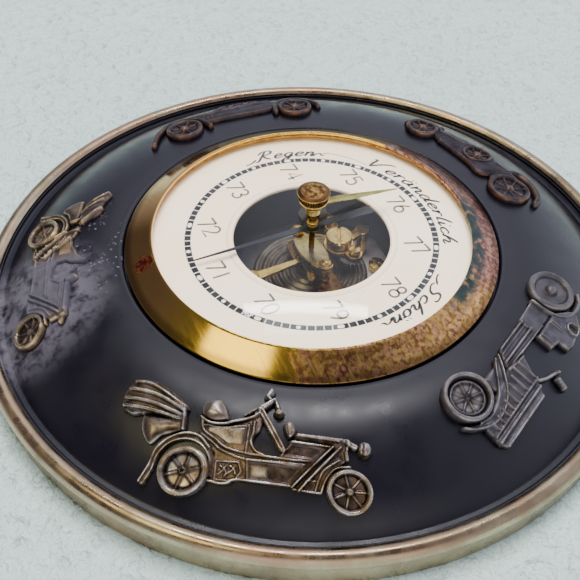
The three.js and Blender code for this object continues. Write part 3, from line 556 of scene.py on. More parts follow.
WASHER = glass_look("clear_washer", "movement_brass", (0.86, 0.82, 0.74, 1), 0.05)
STEEL = metal_look("plain_steel", "plated_steel", srgb(128, 128, 130), srgb(84, 84, 88), 0.35)
DARK_HAND = metal_look("blued_hand", "hand_enamel", srgb(44, 46, 56), srgb(30, 32, 40), 0.4, 0.4)
BACK = metal_look("back_paint", "back_metal", srgb(46, 45, 44), srgb(60, 58, 55), 0.55, 0.1)


# ---------------------------------------------------------------- case
def body_arc(offset, start, end, steps):
    first = math.asin((start - BODY_LIP[0]) / BODY_ARC)
    last = math.asin((end - BODY_LIP[0]) / BODY_ARC)
    centre = BODY_LIP[1] - BODY_ARC
    turns = np.linspace(first, last, steps)
    return [(BODY_LIP[0] + (BODY_ARC + offset) * math.sin(t), centre + (BODY_ARC + offset) * math.cos(t), 0)
            for t in turns]


def build_case():
    floor = BODY_LIP[1] - 2.4
    body = [(48.6, 2.2), (48.6, floor), (50.5, floor, 0.2), (50.5, 20.4, 0.3), (50.9, 20.7, 0.2),
        (51.6, 20.75, 0.1)]
    body += body_arc(0, BODY_LIP[0], BODY_EDGE - 0.4, 28)
    body += [(83.4, 7.9, 0.6), (84.6, 7.9, 0.2), (85.2, 8.3, 0.1), (85.3, 9.2, 0.15), (87.7, 9.2),
        (87.7, 2.2), (85.6, 2.2), (85.6, 5.4)]
    body += body_arc(-2.5, 54, BODY_EDGE, 10)[::-1]
    body += [(50.8, floor - 2.2), (50.8, 2.2)]
    piece("lacquered_ring", *lathe(body, 320), LACQUER, stands_for=["case_body"], sharp=40)

    bead, middle = 2.35, (87.65, 8.25)
    roll = [(middle[0] + bead * math.cos(t), middle[1] + bead * math.sin(t), 0)
        for t in np.linspace(math.radians(-52), math.radians(143), 30)]
    rim = [(84, 0), (89, 0, 0.3), (89, 6.2, 0.15)] + roll + [(85.8, 9.6, 0.05), (88.2, 9.6, 0.2),
        (88.2, 0.8, 0.2), (84, 0.8)]
    piece("rolled_rim", *lathe(rim, 320), RIM, stands_for=["rim_ring"], sharp=50)

    bezel = [(47.0, 15.5), (47.8, 15.5), (47.8, 20.3, 0.1), (BEZEL_RADII[1], 20.3, 0.25),
        (BEZEL_RADII[1], 20.95, 0.35), (43.2, 24.9, 0.3), (42.5, 25.1, 0.2), (BEZEL_RADII[0], 24.4, 0.1),
        (47.0, 21.8, 0.1)]
    piece("bezel", *lathe(bezel, 320), BEZEL, stands_for=["bezel_ring"], sharp=40)


def build_glass():
    edge, centre, drop, hole = 43.6, 29.3, 5.9, 1.4
    sphere = (edge**2 + drop**2) / (2 * drop)
    radii = np.linspace(hole, edge, 24)
    top = [(r, centre - (sphere - math.sqrt(sphere**2 - r**2)), 0) for r in radii]
    under = [(r, z - 1.2, 0) for r, z, _ in top]
    piece("domed_glass", *lathe(top + under[::-1], 200), GLASS, stands_for=["glass_dome"], sharp=40)


# ---------------------------------------------------------------- dial print
def ribbon(points, width, z):
    """A flat stroke along points."""
    p = np.array(points, float)
    d = np.gradient(p, axis=0)
    d /= np.maximum(np.linalg.norm(d, axis=1, keepdims=True), 1e-9)
    w = np.atleast_1d(width) * np.ones(len(p)) / 2
    side = np.stack([-d[:, 1], d[:, 0]], 1) * w[:, None]
    rows = np.concatenate([p + side, p - side])
    n = len(p)
    verts = [(x, y, z) for x, y in rows]
    faces = [(i, i + n, i + n + 1, i + 1) for i in range(n - 1)]
    return verts, faces


def brush(points, thin, thick, z):
    """A stroke that is thick where it runs towards the centre, as a broad pen draws it."""
    p = np.array(points, float)
    d = np.gradient(p, axis=0)
    d /= np.maximum(np.linalg.norm(d, axis=1, keepdims=True), 1e-9)
    radial = p / np.linalg.norm(p, axis=1, keepdims=True)
    steep = np.abs((d * radial).sum(1))
    width = thin + (thick - thin) * steep**1.5
    ends = np.minimum(np.linspace(0, 4, len(p)), np.linspace(4, 0, len(p)))
    return ribbon(p, width * np.clip(0.55 + ends, 0, 1), z)


def smooth_path(points, steps=6):
    """Catmull-Rom through the points."""
    p = [np.array(q, float) for q in points]
    if len(p) < 3:
        return [p[0] * (1 - t) + p[-1] * t for t in np.linspace(0, 1, steps)]
    p = [2 * p[0] - p[1]] + p + [2 * p[-1] - p[-2]]
    out = []
    for a, b, c, d in zip(p, p[1:], p[2:], p[3:]):
        for t in np.linspace(0, 1, steps, endpoint=False):
            square, cube = 2 * a - 5 * b + 4 * c - d, 3 * b - a - 3 * c + d
            out.append(0.5 * (2 * b + (c - a) * t + square * t**2 + cube * t**3))
    return out + [p[-2]]


def loop(cx, cy, rx, ry, start=0, end=360, steps=20):
    return [(cx + rx * math.cos(math.radians(t)), cy + ry * math.sin(math.radians(t)))
            for t in np.linspace(start, end, steps)]


# numerals as strokes in a box of height 1
NUMERALS = {
    "0": [loop(0.3, 0.5, 0.28, 0.5)],
    "1": [[(0.34, 1), (0.28, 0)]],
    "2": [loop(0.29, 0.72, 0.27, 0.28, 170, -40) + [(0.02, 0), (0.6, 0)]],
    "3": [loop(0.27, 0.75, 0.25, 0.25, 160, -80), loop(0.27, 0.26, 0.28, 0.26, 90, -160)],
    "4": [[(0.44, 0), (0.44, 1), (0.0, 0.3), (0.6, 0.3)]],
    "5": [[(0.55, 1), (0.12, 1), (0.06, 0.56)], loop(0.27, 0.31, 0.28, 0.31, 130, -150)],
    "6": [[(0.42, 1), (0.14, 0.62), (0.03, 0.34)], loop(0.29, 0.28, 0.27, 0.28)],
    "7": [[(0, 1), (0.62, 1)], [(0.62, 1), (0.14, 0)]],
    "8": [loop(0.3, 0.76, 0.22, 0.24), loop(0.3, 0.26, 0.28, 0.26)],
    "9": [loop(0.29, 0.7, 0.27, 0.29), [(0.56, 0.66), (0.46, 0.36), (0.18, 0)]],
}

# slanted script letters: (advance, strokes), x-height 1
SCRIPT = {
    "R": (1.7, [[(0.75, 2.0), (0.5, 0.9), (0.25, 0.1), (-0.1, 0.0)],
        [(0.1, 1.5), (0.5, 2.05), (1.2, 2.0), (1.25, 1.4), (0.6, 1.05)],
                [(0.65, 1.05), (1.0, 0.45), (1.5, 0.05)]]),
    "V": (1.75, [[(0.0, 1.95), (0.25, 1.9), (0.3, 1.0), (0.42, 0.05)],
        [(0.42, 0.05), (0.9, 1.2), (1.4, 2.0), (1.8, 2.1)]]),
    "S": (1.55, [[(1.4, 1.75), (1.1, 2.05), (0.6, 1.85), (0.6, 1.35), (1.0, 0.9), (0.95, 0.3),
        (0.45, -0.05), (0.0, 0.2)]]),
    "e": (0.95, [[(0.1, 0.4), (0.55, 0.55), (0.75, 0.8), (0.5, 1.0), (0.2, 0.7), (0.2, 0.25), (0.5, 0.02),
        (0.95, 0.3)]]),
    "g": (1.05, [[(0.8, 0.9), (0.45, 1.0), (0.15, 0.6), (0.3, 0.15), (0.65, 0.3), (0.85, 0.9)],
                 [(0.85, 0.95), (0.7, 0.0), (0.45, -0.75), (0.1, -0.7), (0.3, -0.2), (1.0, 0.2)]]),
    "n": (1.1, [[(0.05, 0.9), (0.2, 0.9), (0.15, 0.0)],
        [(0.17, 0.45), (0.5, 0.98), (0.72, 0.8), (0.7, 0.2), (0.85, 0.02), (1.1, 0.3)]]),
    "a": (1.1, [[(0.8, 0.9), (0.45, 1.0), (0.12, 0.55), (0.28, 0.04), (0.6, 0.2), (0.85, 0.95)],
        [(0.85, 0.95), (0.8, 0.2), (1.1, 0.2)]]),
    "d": (1.15, [[(0.8, 0.85), (0.45, 1.0), (0.12, 0.55), (0.28, 0.04), (0.6, 0.2), (0.85, 0.95)],
        [(1.05, 2.0), (0.85, 0.6), (0.85, 0.1), (1.15, 0.25)]]),
    "r": (0.85, [[(0.05, 0.85), (0.2, 0.95), (0.15, 0.0)], [(0.17, 0.5), (0.45, 0.98), (0.8, 0.92)]]),
    "l": (0.6, [[(0.5, 2.0), (0.25, 1.0), (0.2, 0.15), (0.55, 0.15)]]),
    "i": (0.6, [[(0.2, 0.95), (0.15, 0.15), (0.3, 0.02), (0.55, 0.3)], [(0.32, 1.42), (0.34, 1.55)]]),
    "c": (0.9, [[(0.75, 0.8), (0.5, 1.0), (0.15, 0.6), (0.25, 0.1), (0.6, 0.02), (0.9, 0.3)]]),
    "h": (1.15, [[(0.5, 2.05), (0.25, 1.0), (0.1, 0.0)],
        [(0.15, 0.4), (0.5, 0.98), (0.74, 0.8), (0.7, 0.2), (0.85, 0.02), (1.15, 0.3)]]),
    "o": (0.98, [loop(0.45, 0.5, 0.33, 0.5, 60, 420), [(0.6, 0.95), (1.0, 0.85)]]),
}
DOTS = [[(0.35, 1.4), (0.37, 1.53)], [(0.7, 1.4), (0.72, 1.53)]]


def build_dial():
    plate = [(21.1, 21.0), (44.6, 21.0), (44.6, DIAL_TOP), (23.0, DIAL_TOP, 0.1), (22.75, 21.86, 0.1),
        (22.2, 22.2, 0.2), (21.5, 22.2, 0.2), (21.1, 21.8, 0.15)]
    piece("dial", *lathe(plate, 240), DIAL, stands_for=["dial_plate"], sharp=60)

    z = DIAL_TOP + 0.03
    inner, outer = SCALE_RING
    ring = [polar(r, a) for r in (inner, outer) for a in np.arange(0, 360, 1.0)]
    band = [(i, i + 360, (i + 1) % 360 + 360, (i + 1) % 360) for i in range(360)]
    piece("scale_ring", [(x, y, z) for x, y in ring], band, INK, smooth=False)
    line = ribbon([polar(WINDOW_LINE, a) for a in np.arange(0, 361, 2.0)], 0.09, z + 0.01)
    piece("window_lines", *joined(line), LINE_INK, smooth=False)

    gaps = [ribbon([polar(inner - 0.02, 3.6 * i), polar(outer + 0.02, 3.6 * i)], 0.26, z + 0.02)
            for i in range(100) if i % 5]
    piece("scale_lines", *joined(*gaps), WHITE_INK, smooth=False)
    spots = []
    for i in range(20):
        long, wide = (0.92, 0.6) if i % 2 == 0 else (0.56, 0.56)
        cx, cy = polar((inner + outer) / 2, 18 * i)
        turn = math.radians(18 * i)
        spot = []
        for t in np.linspace(0, 2 * math.pi, 20, endpoint=False):
            x = math.copysign(abs(math.cos(t)) ** 0.8, math.cos(t)) * long
            y = math.copysign(abs(math.sin(t)) ** 0.8, math.sin(t)) * wide
            spot.append((cx + x * math.cos(turn) - y * math.sin(turn),
                cy + x * math.sin(turn) + y * math.cos(turn), z + 0.02))
        spots.append((spot, [list(range(20))]))
    piece("scale_spots", *joined(*spots), WHITE_INK, smooth=False)

    height = NUMERAL_HEIGHT
    strokes = []
    for value in range(70, 80):
        cx, cy = polar(NUMERAL_RADIUS, (76 - value) * 36)
        for k, digit in enumerate(str(value)):
            ox = cx + (k - 1) * 0.74 * height + 0.08 * height
            for line in NUMERALS[digit]:
                path = [(ox + x * height, cy + (y - 0.5) * height) for x, y in line]
                strokes.append(ribbon(path, NUMERAL_STROKE, z))
    piece("numerals", *joined(*strokes), NUMBER_INK, smooth=False)

    tall, slant, base_radius = LETTER_HEIGHT, LETTER_SLANT, WORD_RADIUS
    strokes = []
    for word, middle, wide, dotted in (("Regen", 72.6, 1.66, ()), ("Veranderlich", 0.5, 1.86, (3,)),
                                       ("Schon", -72.6, 1.74, (3,))):
        width = sum(SCRIPT[c][0] for c in word) * tall * wide
        at = -width / 2
        for k, letter in enumerate(word):
            advance, lines = SCRIPT[letter]
            for line in lines + (DOTS if k in dotted else []):
                path = []
                for x, y in smooth_path(line):
                    along = at + (x * wide + slant * y) * tall
                    path.append(polar(base_radius + y * tall,
                        middle - math.degrees(along / (base_radius + 2))))
                strokes.append(brush(path, 0.42, 0.86, z))
            at += advance * tall * wide
        first = middle - math.degrees(-width / 2 / (base_radius + 2))
        last = middle - math.degrees(width / 2 / (base_radius + 2))
        if word[0] in "RS":
            swash = [(-3.4, 0.3), (-2.6, 0.05), (-1.2, 0.35), (0.5, 1.2)]
            tail = [(-1.0, 0.2), (0.2, 0.9), (1.4, 1.3), (2.2, 0.5), (3.0, 0.5)]
            for end, line, thin, thick in ((first, swash, 0.4, 0.9), (last, tail, 0.35, 0.8)):
                path = [polar(base_radius + y, end - math.degrees(x / 37)) for x, y in line]
                strokes.append(brush(smooth_path(path), thin, thick, z))
    piece("weather_words", *joined(*strokes), WORD_INK, smooth=False)
    sweep = smooth_path([polar(r, a) for r, a in ((36.6, 55), (36.9, 50), (36.4, 43), (35.8, 37),
        (35.4, 32.5))])
    piece("thin_flourish", *joined(ribbon(sweep, np.linspace(0.3, 0.16, len(sweep)), z)), NUMBER_INK,
        smooth=False)


# ---------------------------------------------------------------- cast cars
def sd_circle(p, c, r):
    return np.hypot(p[0] - c[0], p[1] - c[1]) - r


def sd_line(p, a, b, width):
    ax, ay = a
    dx, dy = b[0] - ax, b[1] - ay
    t = np.clip(((p[0] - ax) * dx + (p[1] - ay) * dy) / (dx * dx + dy * dy + 1e-12), 0, 1)
    return np.hypot(p[0] - ax - t * dx, p[1] - ay - t * dy) - width / 2


def sd_path(p, points, width, closed=False):
    ends = list(points[1:]) + ([points[0]] if closed else [])
    return np.minimum.reduce([sd_line(p, a, b, width) for a, b in zip(points, ends)])


def sd_poly(p, points, radius=0.0):
    inside = np.zeros(p[0].shape, bool)
    for (ax, ay), (bx, by) in zip(points, list(points[1:]) + [points[0]]):
        crosses = (ay > p[1]) != (by > p[1])
        at = ax + (p[1] - ay) * (bx - ax) / ((by - ay) or 1e-9)
        inside ^= crosses & (p[0] < at)
    edge = sd_path(p, points, 0, closed=True)
    return np.where(inside, -edge, edge) - radius


def curve(points):
    return [tuple(q) for q in smooth_path(points, 5)]


class Cast:
    """A relief as a height over a fine grid. Shapes are added, beaded, grooved and cut."""

    def __init__(self, u, v, step, scale=(1.0, 1.0), shift=(0.0, 0.0)):
        self.u = np.arange(u[0], u[1], step)
        self.v = np.arange(v[0], v[1], step)
        self.place = np.meshgrid(self.u, self.v, indexing="ij")
        self.p = [(self.place[k] - shift[k]) / scale[k] for k in range(2)]
        self.height = np.zeros(self.p[0].shape)
        self.edge = np.full(self.p[0].shape, 9.0)
        self.shine = np.zeros(self.p[0].shape)
        self.shade = np.zeros(self.p[0].shape)
        self.crust = np.zeros(self.p[0].shape)

    def add(self, shape, top, soft=0.7):
        inside = np.clip(-shape / soft, 0, 1)
        rise = top * np.sqrt(1 - (1 - inside) ** 2)
        self.height = np.where(shape < 0, np.maximum(self.height, rise), self.height)
        self.edge = np.minimum(self.edge, shape)

    def crown(self, shape, top, bulge, reach):
        """A plump form: top at its edge, rising by bulge towards its middle."""
        self.add(shape, top, 0.6)
        inside = np.clip(-shape / reach, 0, 1)
        rise = top + bulge * np.sin(inside * math.pi / 2)
        self.height = np.where(shape < -0.5, np.maximum(self.height, rise), self.height)

    def bead(self, shape, rise):
        """A raised line over what is there. shape is a line's distance, negative within it."""
        half = -shape.min()
        ratio = np.clip(-shape / max(half, 1e-6), 0, 1)
        self.height += np.where(shape < 0, rise * np.sqrt(1 - (1 - ratio) ** 2), 0)

    def bar(self, points, width, top, soft=0.7):
        self.add(sd_path(self.p, points, width), top, soft)

    def ridge(self, points, width, rise):
        self.bead(sd_path(self.p, points, width), rise)

    def score(self, points, width, depth):
        self.groove(sd_path(self.p, points, width), depth)

    def dome(self, points, top, bulge, reach):
        self.crown(sd_poly(self.p, points), top, bulge, reach)

    def mark(self, start, end, width, **tints):
        self.tint(sd_line(self.p, start, end, width), **tints)

    def groove(self, shape, depth):
        ratio = np.clip(-shape / 0.25, 0, 1)
        self.height = np.where(shape < 0, np.maximum(self.height - depth * ratio, 0.3), self.height)

    def level(self, shape, top, soft=0.3):
        share = np.clip(-shape / soft, 0, 1)
        share = share * share * (3 - 2 * share)
        self.height = self.height * (1 - share) + top * share

    def tint(self, shape, shine=0.0, shade=0.0, soft=0.4):
        """Marks an area as rubbed bright, or darkened with painted shade, for the material."""
        share = np.clip(-shape / soft, 0, 1)
        self.shine += shine * share
        self.shade += shade * share

    def cut(self, shape):
        self.edge = np.maximum(self.edge, -shape)

    def wheel(self, c, radius, inner, spokes, turn=0.0, top=3.0, bright=0.0, thick=0.75, hub=0.95):
        """A tyre round a dished disc. bright: how far the disc, not the spokes, is rubbed bright."""
        c = np.array(c)
        self.add(sd_circle(self.p, c, radius), 1.2, 0.5)
        far = np.hypot(self.p[0] - c[0], self.p[1] - c[1])
        tyre = radius - inner
        across = np.clip(np.abs(far - (radius + inner) / 2) / (tyre / 2), 0, 1)
        tread = 1.0 + (top - 1.0) * np.sqrt(1 - across**2)
        self.height = np.where(np.abs(far - (radius + inner) / 2) < tyre / 2, tread, self.height)
        self.height = np.where(far < inner, 1.0 + 0.35 * (far / inner) ** 2, self.height)
        self.tint(far - inner + 0.35, shine=bright)
        self.tint(np.abs(far - inner - 0.1) - 0.4, shade=0.55)
        for k in range(spokes):
            t = turn + 2 * math.pi * k / spokes
            tip = (c[0] + (inner - 0.1) * math.cos(t), c[1] + (inner - 0.1) * math.sin(t))
            bar = sd_line(self.p, c, tip, thick)
            self.bead(bar, 0.55)
            self.tint(bar, shine=-bright, shade=0.5 if bright > 0.3 else 0.0, soft=0.2)
        self.level(sd_circle(self.p, c, hub + 0.4), 1.5, 0.3)
        self.bead(sd_circle(self.p, c, hub), 0.9)


def draw_tourer(worn=False):
    """An open tourer facing +u, hood folded back. worn: smaller, its hood steeper, with fewer fittings."""
    if worn:
        c = Cast((-34, 23), (-6.5, 26), GRID, (0.93, 0.9), (-1.1, -1.6))
    else:
        c = Cast((-38, 25), (-5, 30), GRID)
    p = c.p
    if worn:
        hood = [(-24.6, 17.2), (-30.4, 21.4), (-32.6, 26.6), (-31.2, 28.2), (-29, 26.6), (-26.4, 25.2),
            (-24.4, 25.6), (-21.8, 23.4), (-18.6, 17.6), (-20.6, 16.2)]
        folds = [[(-31.4, 27), (-26, 17.8)], [(-28.6, 25.2), (-23.6, 17.6)], [(-24.6, 24.8), (-19.4, 18.2)]]
    else:
        hood = [(-35.9, 18.2), (-36.4, 22), (-35.2, 25.4), (-33.2, 27.5), (-29.6, 27.4), (-26.2, 25.8),
            (-21.9, 22.2), (-19.9, 19.8), (-20.2, 18.2), (-21.2, 15.2), (-25.4, 16.6), (-30.6, 17),
            (-33, 16.7)]
        folds = [[(-33.4, 26.2), (-29, 25.3), (-21, 20)], [(-34.5, 24), (-28, 22.6), (-20.8, 18.6)],
                 [(-35, 21.4), (-28.6, 20.2), (-21.4, 17.3)], [(-35.2, 19.3), (-28.8, 18.3), (-21.5, 16.1)]]
    hood = curve(hood + hood[:1])[:-1]
    c.dome(hood, 1.3, 0.9, 3)
    for line in folds:
        c.ridge(curve(line), 1.25, 0.85)
    c.mark((-34, 24), (-27, 22), 1.6, shine=0.4)
    tub = curve([(-30.5, 17.2), (-30.4, 13.7), (-29.3, 10.9), (-27.4, 9.3), (-25, 11.6), (-20.2, 13.4),
        (-20.6, 16.4)])
    c.dome(tub, 1.2, 0.5, 3)
    c.ridge(tub, 0.7, 0.35)
    c.tint(sd_poly(p, [(-29.6, 16.4), (-28.6, 11), (-24.4, 13), (-22.4, 16.2)]), shine=0.35, soft=1.2)
    c.bar([(-20.9, 19.6), (-20.4, 13.6)], 1.3, 2.3)
    c.mark((-20.2, 19), (-19.8, 17), 1.4, shade=0.9)

    sides = [(-20.4, 13.4), (-16.9, 12.4), (-16.4, 17.2), (-13, 15.4), (-10.2, 15.6), (-6, 17.8),
        (-4.6, 19.4), (-3.6, 21.6), (-2.4, 20), (-3, 15.4), (-4.2, 13.4), (-4, 10.2), (-1.4, 8.9),
        (1.9, 9.3), (4, 13.6), (5.4, 16.2), (16.3, 16.7), (17.1, 14), (17.1, 10.8), (13, 5.2), (12.4, 1.9),
        (6, 1.7), (5.2, 2.4), (-6.6, 2.2), (-8.4, 1.2), (-12.6, 1.4), (-12.6, 8), (-16, 11)]
    c.add(sd_poly(p, sides, 0.1), 1.4)
    opening = [(-3, 15), (-1.9, 15.6), (0, 12.2), (1.4, 9.9), (-1.2, 9.5), (-3.1, 10.2), (-3.9, 12),
        (-3.8, 13.6)]
    if not worn:
        c.cut(sd_poly(p, opening, -0.1))
    sill = curve([(-16.4, 17.2), (-15.5, 13.8), (-12.6, 11.7), (-10, 9.8), (-5.8, 8.9), (-3, 8.7), (4, 8.7),
        (8.8, 9)])
    c.bar(sill, 1, 2.1, 0.4)
    low_sill = curve([(-16, 12.8), (-12.9, 10.6), (-10.8, 9), (-5.8, 7.5), (0, 7.6), (7.9, 8)])
    c.ridge(low_sill, 0.7, 0.6)

    if not worn:
        seat = curve([(-17, 18), (-17.2, 20.4), (-16, 22.6), (-14, 23.4), (-12.2, 22.6), (-10.6, 19.6),
            (-10.3, 17.2), (-13.2, 16.2), (-16, 17), (-17, 18)])[:-1]
        c.dome(seat, 1.5, 1.1, 2.8)
        c.mark((-14.4, 18.4), (-13.4, 21.8), 2, shine=0.25, soft=0.8)
        c.bar(curve([(-16.7, 17.3), (-14.4, 15.9), (-11.2, 16), (-9.2, 16.9), (-7.2, 17.6), (-5, 18.8),
            (-3.8, 20.2)]), 1.1, 2.3, 0.5)
        c.ridge(curve([(-15.4, 15.2), (-12.4, 14.9), (-10, 15.2), (-5.8, 16.3)]), 0.6, 0.5)
        c.bar([(-3.7, 21.4), (2.7, 10.9)], 1.9, 2.3, 0.6)
        c.score([(-3.4, 20.8), (2.3, 11.4)], 0.5, 0.8)
        c.bar([(-6.9, 19), (-0.9, 25.3)], 0.8, 2, 0.4)
        c.bar([(-4.4, 20.2), (-1.6, 24.2)], 1.4, 1.9, 0.5)
        c.crown(sd_line(p, (-2.6, 26), (-2, 28), 2), 1.3, 0.9, 1.1)
        c.tint(sd_circle(p, (-2, 27.2), 0.9), shine=0.5)
        c.bar([(-2.4, 25.8), (-1.4, 24.6)], 1, 1.8, 0.4)
        c.crown(sd_line(p, (-0.6, 24.6), (0.2, 22.6), 1.5), 1.2, 0.7, 0.9)
        c.crown(sd_circle(p, (0.5, 21.2), 1.35), 1.3, 1.1, 1.2)
        c.bar(curve([(-4.5, 17.6), (-4.4, 14.4), (-4.6, 12), (-3.4, 9.8), (-1.4, 9)]), 0.9, 2.1, 0.4)
        c.ridge([(-5.5, 16.6), (-5.4, 9.2)], 0.6, 0.5)
    door = [(-15.2, 14.9), (-6.2, 15.8), (-6.2, 10.8), (-9.8, 10.6), (-12.4, 12.4), (-14.6, 13.4)]
    c.level(sd_poly(p, door, -0.1), 1.6)
    c.tint(sd_poly(p, door, -0.1), shine=0.75, soft=0.9)

    scuttle = curve([(1.8, 18.2), (3.4, 19.2), (4.9, 17.6), (5.3, 15.4), (4, 13.9), (2.9, 14.6),
        (2.1, 16.4), (1.8, 18.2)])[:-1]
    c.dome(scuttle, 1.6, 0.8, 1.4)
    c.mark((3.4, 17.8), (4, 15.6), 0.9, shine=0.35)
    c.crown(sd_poly(p, [(5, 16.1), (16.2, 16.6), (15, 14.6), (4.6, 14.6)], 0.1), 1.8, 0.6, 1.2)
    c.score([(4.2, 14.2), (13.6, 14.2)], 0.5, 0.5)
    c.ridge([(4, 13.4), (13.4, 13.5)], 0.7, 0.7)
    c.mark((4.2, 13.4), (12, 13.5), 0.7, shine=0.5)
    side = [(4.8, 12.7), (11.8, 12.8), (9.4, 9.8), (2.9, 9.6)]
    c.level(sd_poly(p, side), 1.2)
    c.tint(sd_poly(p, side), shade=0.25)
    c.ridge([(4.4, 12.6), (2.6, 9.4)], 0.6, 0.5)

    panel = [(-4.5, 6.6), (7.2, 6.9), (5, 3.3), (-4, 3.1)]
    c.level(sd_poly(p, panel), 1.3)
    c.ridge([(-4.9, 7.2), (7.6, 7.4)], 0.5, 0.4)
    c.ridge([(-4.8, 7), (-4.2, 2.8)], 0.6, 0.4)
    c.tint(sd_poly(p, [(-3.9, 6.2), (0.2, 6.2), (0.4, 3.4), (-3.7, 3.2)]), shine=0.75, soft=1)
    c.tint(sd_poly(p, [(1, 6.4), (6.6, 6.6), (5, 3.5), (1.2, 3.4)]), shade=0.15)

    plate = [(-11.6, 6.2), (-6.6, 6.4), (-5.8, 4.2), (-6.8, 2.4), (-8.6, 1.9), (-11.4, 1.9)]
    c.level(sd_poly(p, plate), 1.2)
    c.bead(np.abs(sd_poly(p, plate)) - 0.25, 0.5)
    for start, end in (((-10.8, 3), (-9.2, 5.4)), ((-10.6, 5.2), (-9, 3.4)), ((-9.4, 2.8), (-7.4, 4.9)),
        ((-8.4, 5.4), (-7, 3.6))):
        middle = ((start[0] + end[0]) / 2 + 0.35, (start[1] + end[1]) / 2 + 0.25)
        c.ridge(curve([start, middle, end]), 0.55, 0.6)
    c.bar(curve([(-12.7, 1.5), (-10.4, 1.1), (-8.4, 1.4), (-6.9, 2.3), (-1, 2.4), (5.4, 2.5)]), 1, 2, 0.4)

    band = [(-28.9, 0.6), (-27.2, 4.4), (-26.2, 8.6), (-23.4, 11.6), (-20, 13.2), (-16.4, 12.8),
        (-13.4, 10), (-11.9, 5.6), (-12, 1.6)]
    inner = [(-13, 2.4), (-13.4, 6.4), (-15.6, 9.6), (-18.9, 10.9), (-22.4, 9.9), (-24.9, 7), (-25.8, 3.4),
        (-27.4, 0.2)]
    c.add(sd_poly(p, curve(band) + curve(inner)), 1.5, 0.5)
    c.bar(curve([(-28.6, 0.9), (-26.7, 4.6), (-25.5, 8.4), (-22.8, 11.2), (-19.4, 12.6), (-16.2, 12),
        (-13.6, 9.4)]), 1, 2.4, 0.5)
    c.ridge(curve(inner[:-1]), 0.9, 0.8)
    c.mark((-20.4, 11.7), (-17.6, 11.7), 1.2, shade=0.5)
    c.crown(sd_circle(p, (-28.1, 0.5), 1), 1.2, 0.5, 0.8)

    front = curve([(17.8, 9.4), (14.8, 8.3), (13, 5.4), (12.3, 2.2)])
    c.bar(front, 1, 2.2, 0.5)
    c.ridge(curve([(15.4, 10.6), (12.4, 7.6), (11.5, 5), (11, 2.4)]), 0.7, 0.6)
    for start, end in (((13.6, 13.6), (5.8, 2.2)), ((15.3, 13.8), (7.4, 1.7))):
        c.bar([start, end], 0.95, 2.6, 0.45)
    c.bar([(6, 1.8), (12.2, 2)], 0.8, 2, 0.4)
    c.ridge([(8.6, 4.2), (11, 4.6)], 0.5, 0.5)
    c.bar([(16.6, 12.8), (17, 11.2)], 1.4, 2, 0.5)

    c.bar([(16, 15.6), (18.4, 14.7)], 1.9, 2.2)
    c.ridge([(16.6, 17), (16.9, 13.8)], 1, 0.6)
    if not worn:
        c.crown(np.hypot((p[0] - 20.7) / 1.75, (p[1] - 14.5) / 2.4) * 2 - 2, 1.7, 1.2, 2)
        c.score([(20, 16.4), (20.2, 12.6)], 0.5, 0.5)

    c.wheel((-18.7, 3.4), 6.05, 4.1, 6, 0.25, bright=0.85, thick=0.95, hub=1)
    c.tint(np.abs(np.hypot(p[0] + 18.7, p[1] - 3.4) - 5.1) - 0.5, shine=0.25)
    c.wheel((18.5, 3.7), 5.35, 3.75, 7, 0.15, bright=0, thick=0.75, hub=1)
    if worn:
        c.height *= 0.72
        cloud = np.clip((p[0] + 9) / 5, 0, 1) * np.clip((17.5 - p[0]) / 4, 0, 1)
        c.crust = np.where(np.hypot(p[0] - 18.5, p[1] - 3.7) < 5.4, 0, cloud)
        for line in ([(-15.4, 12.8), (-8.8, 2.4)], [(-12.6, 14.6), (-6.8, 6.2)]):
            c.ridge(line, 1.5, 0.9)
            c.tint(sd_path(p, line, 1.5), shine=0.7)
    return c


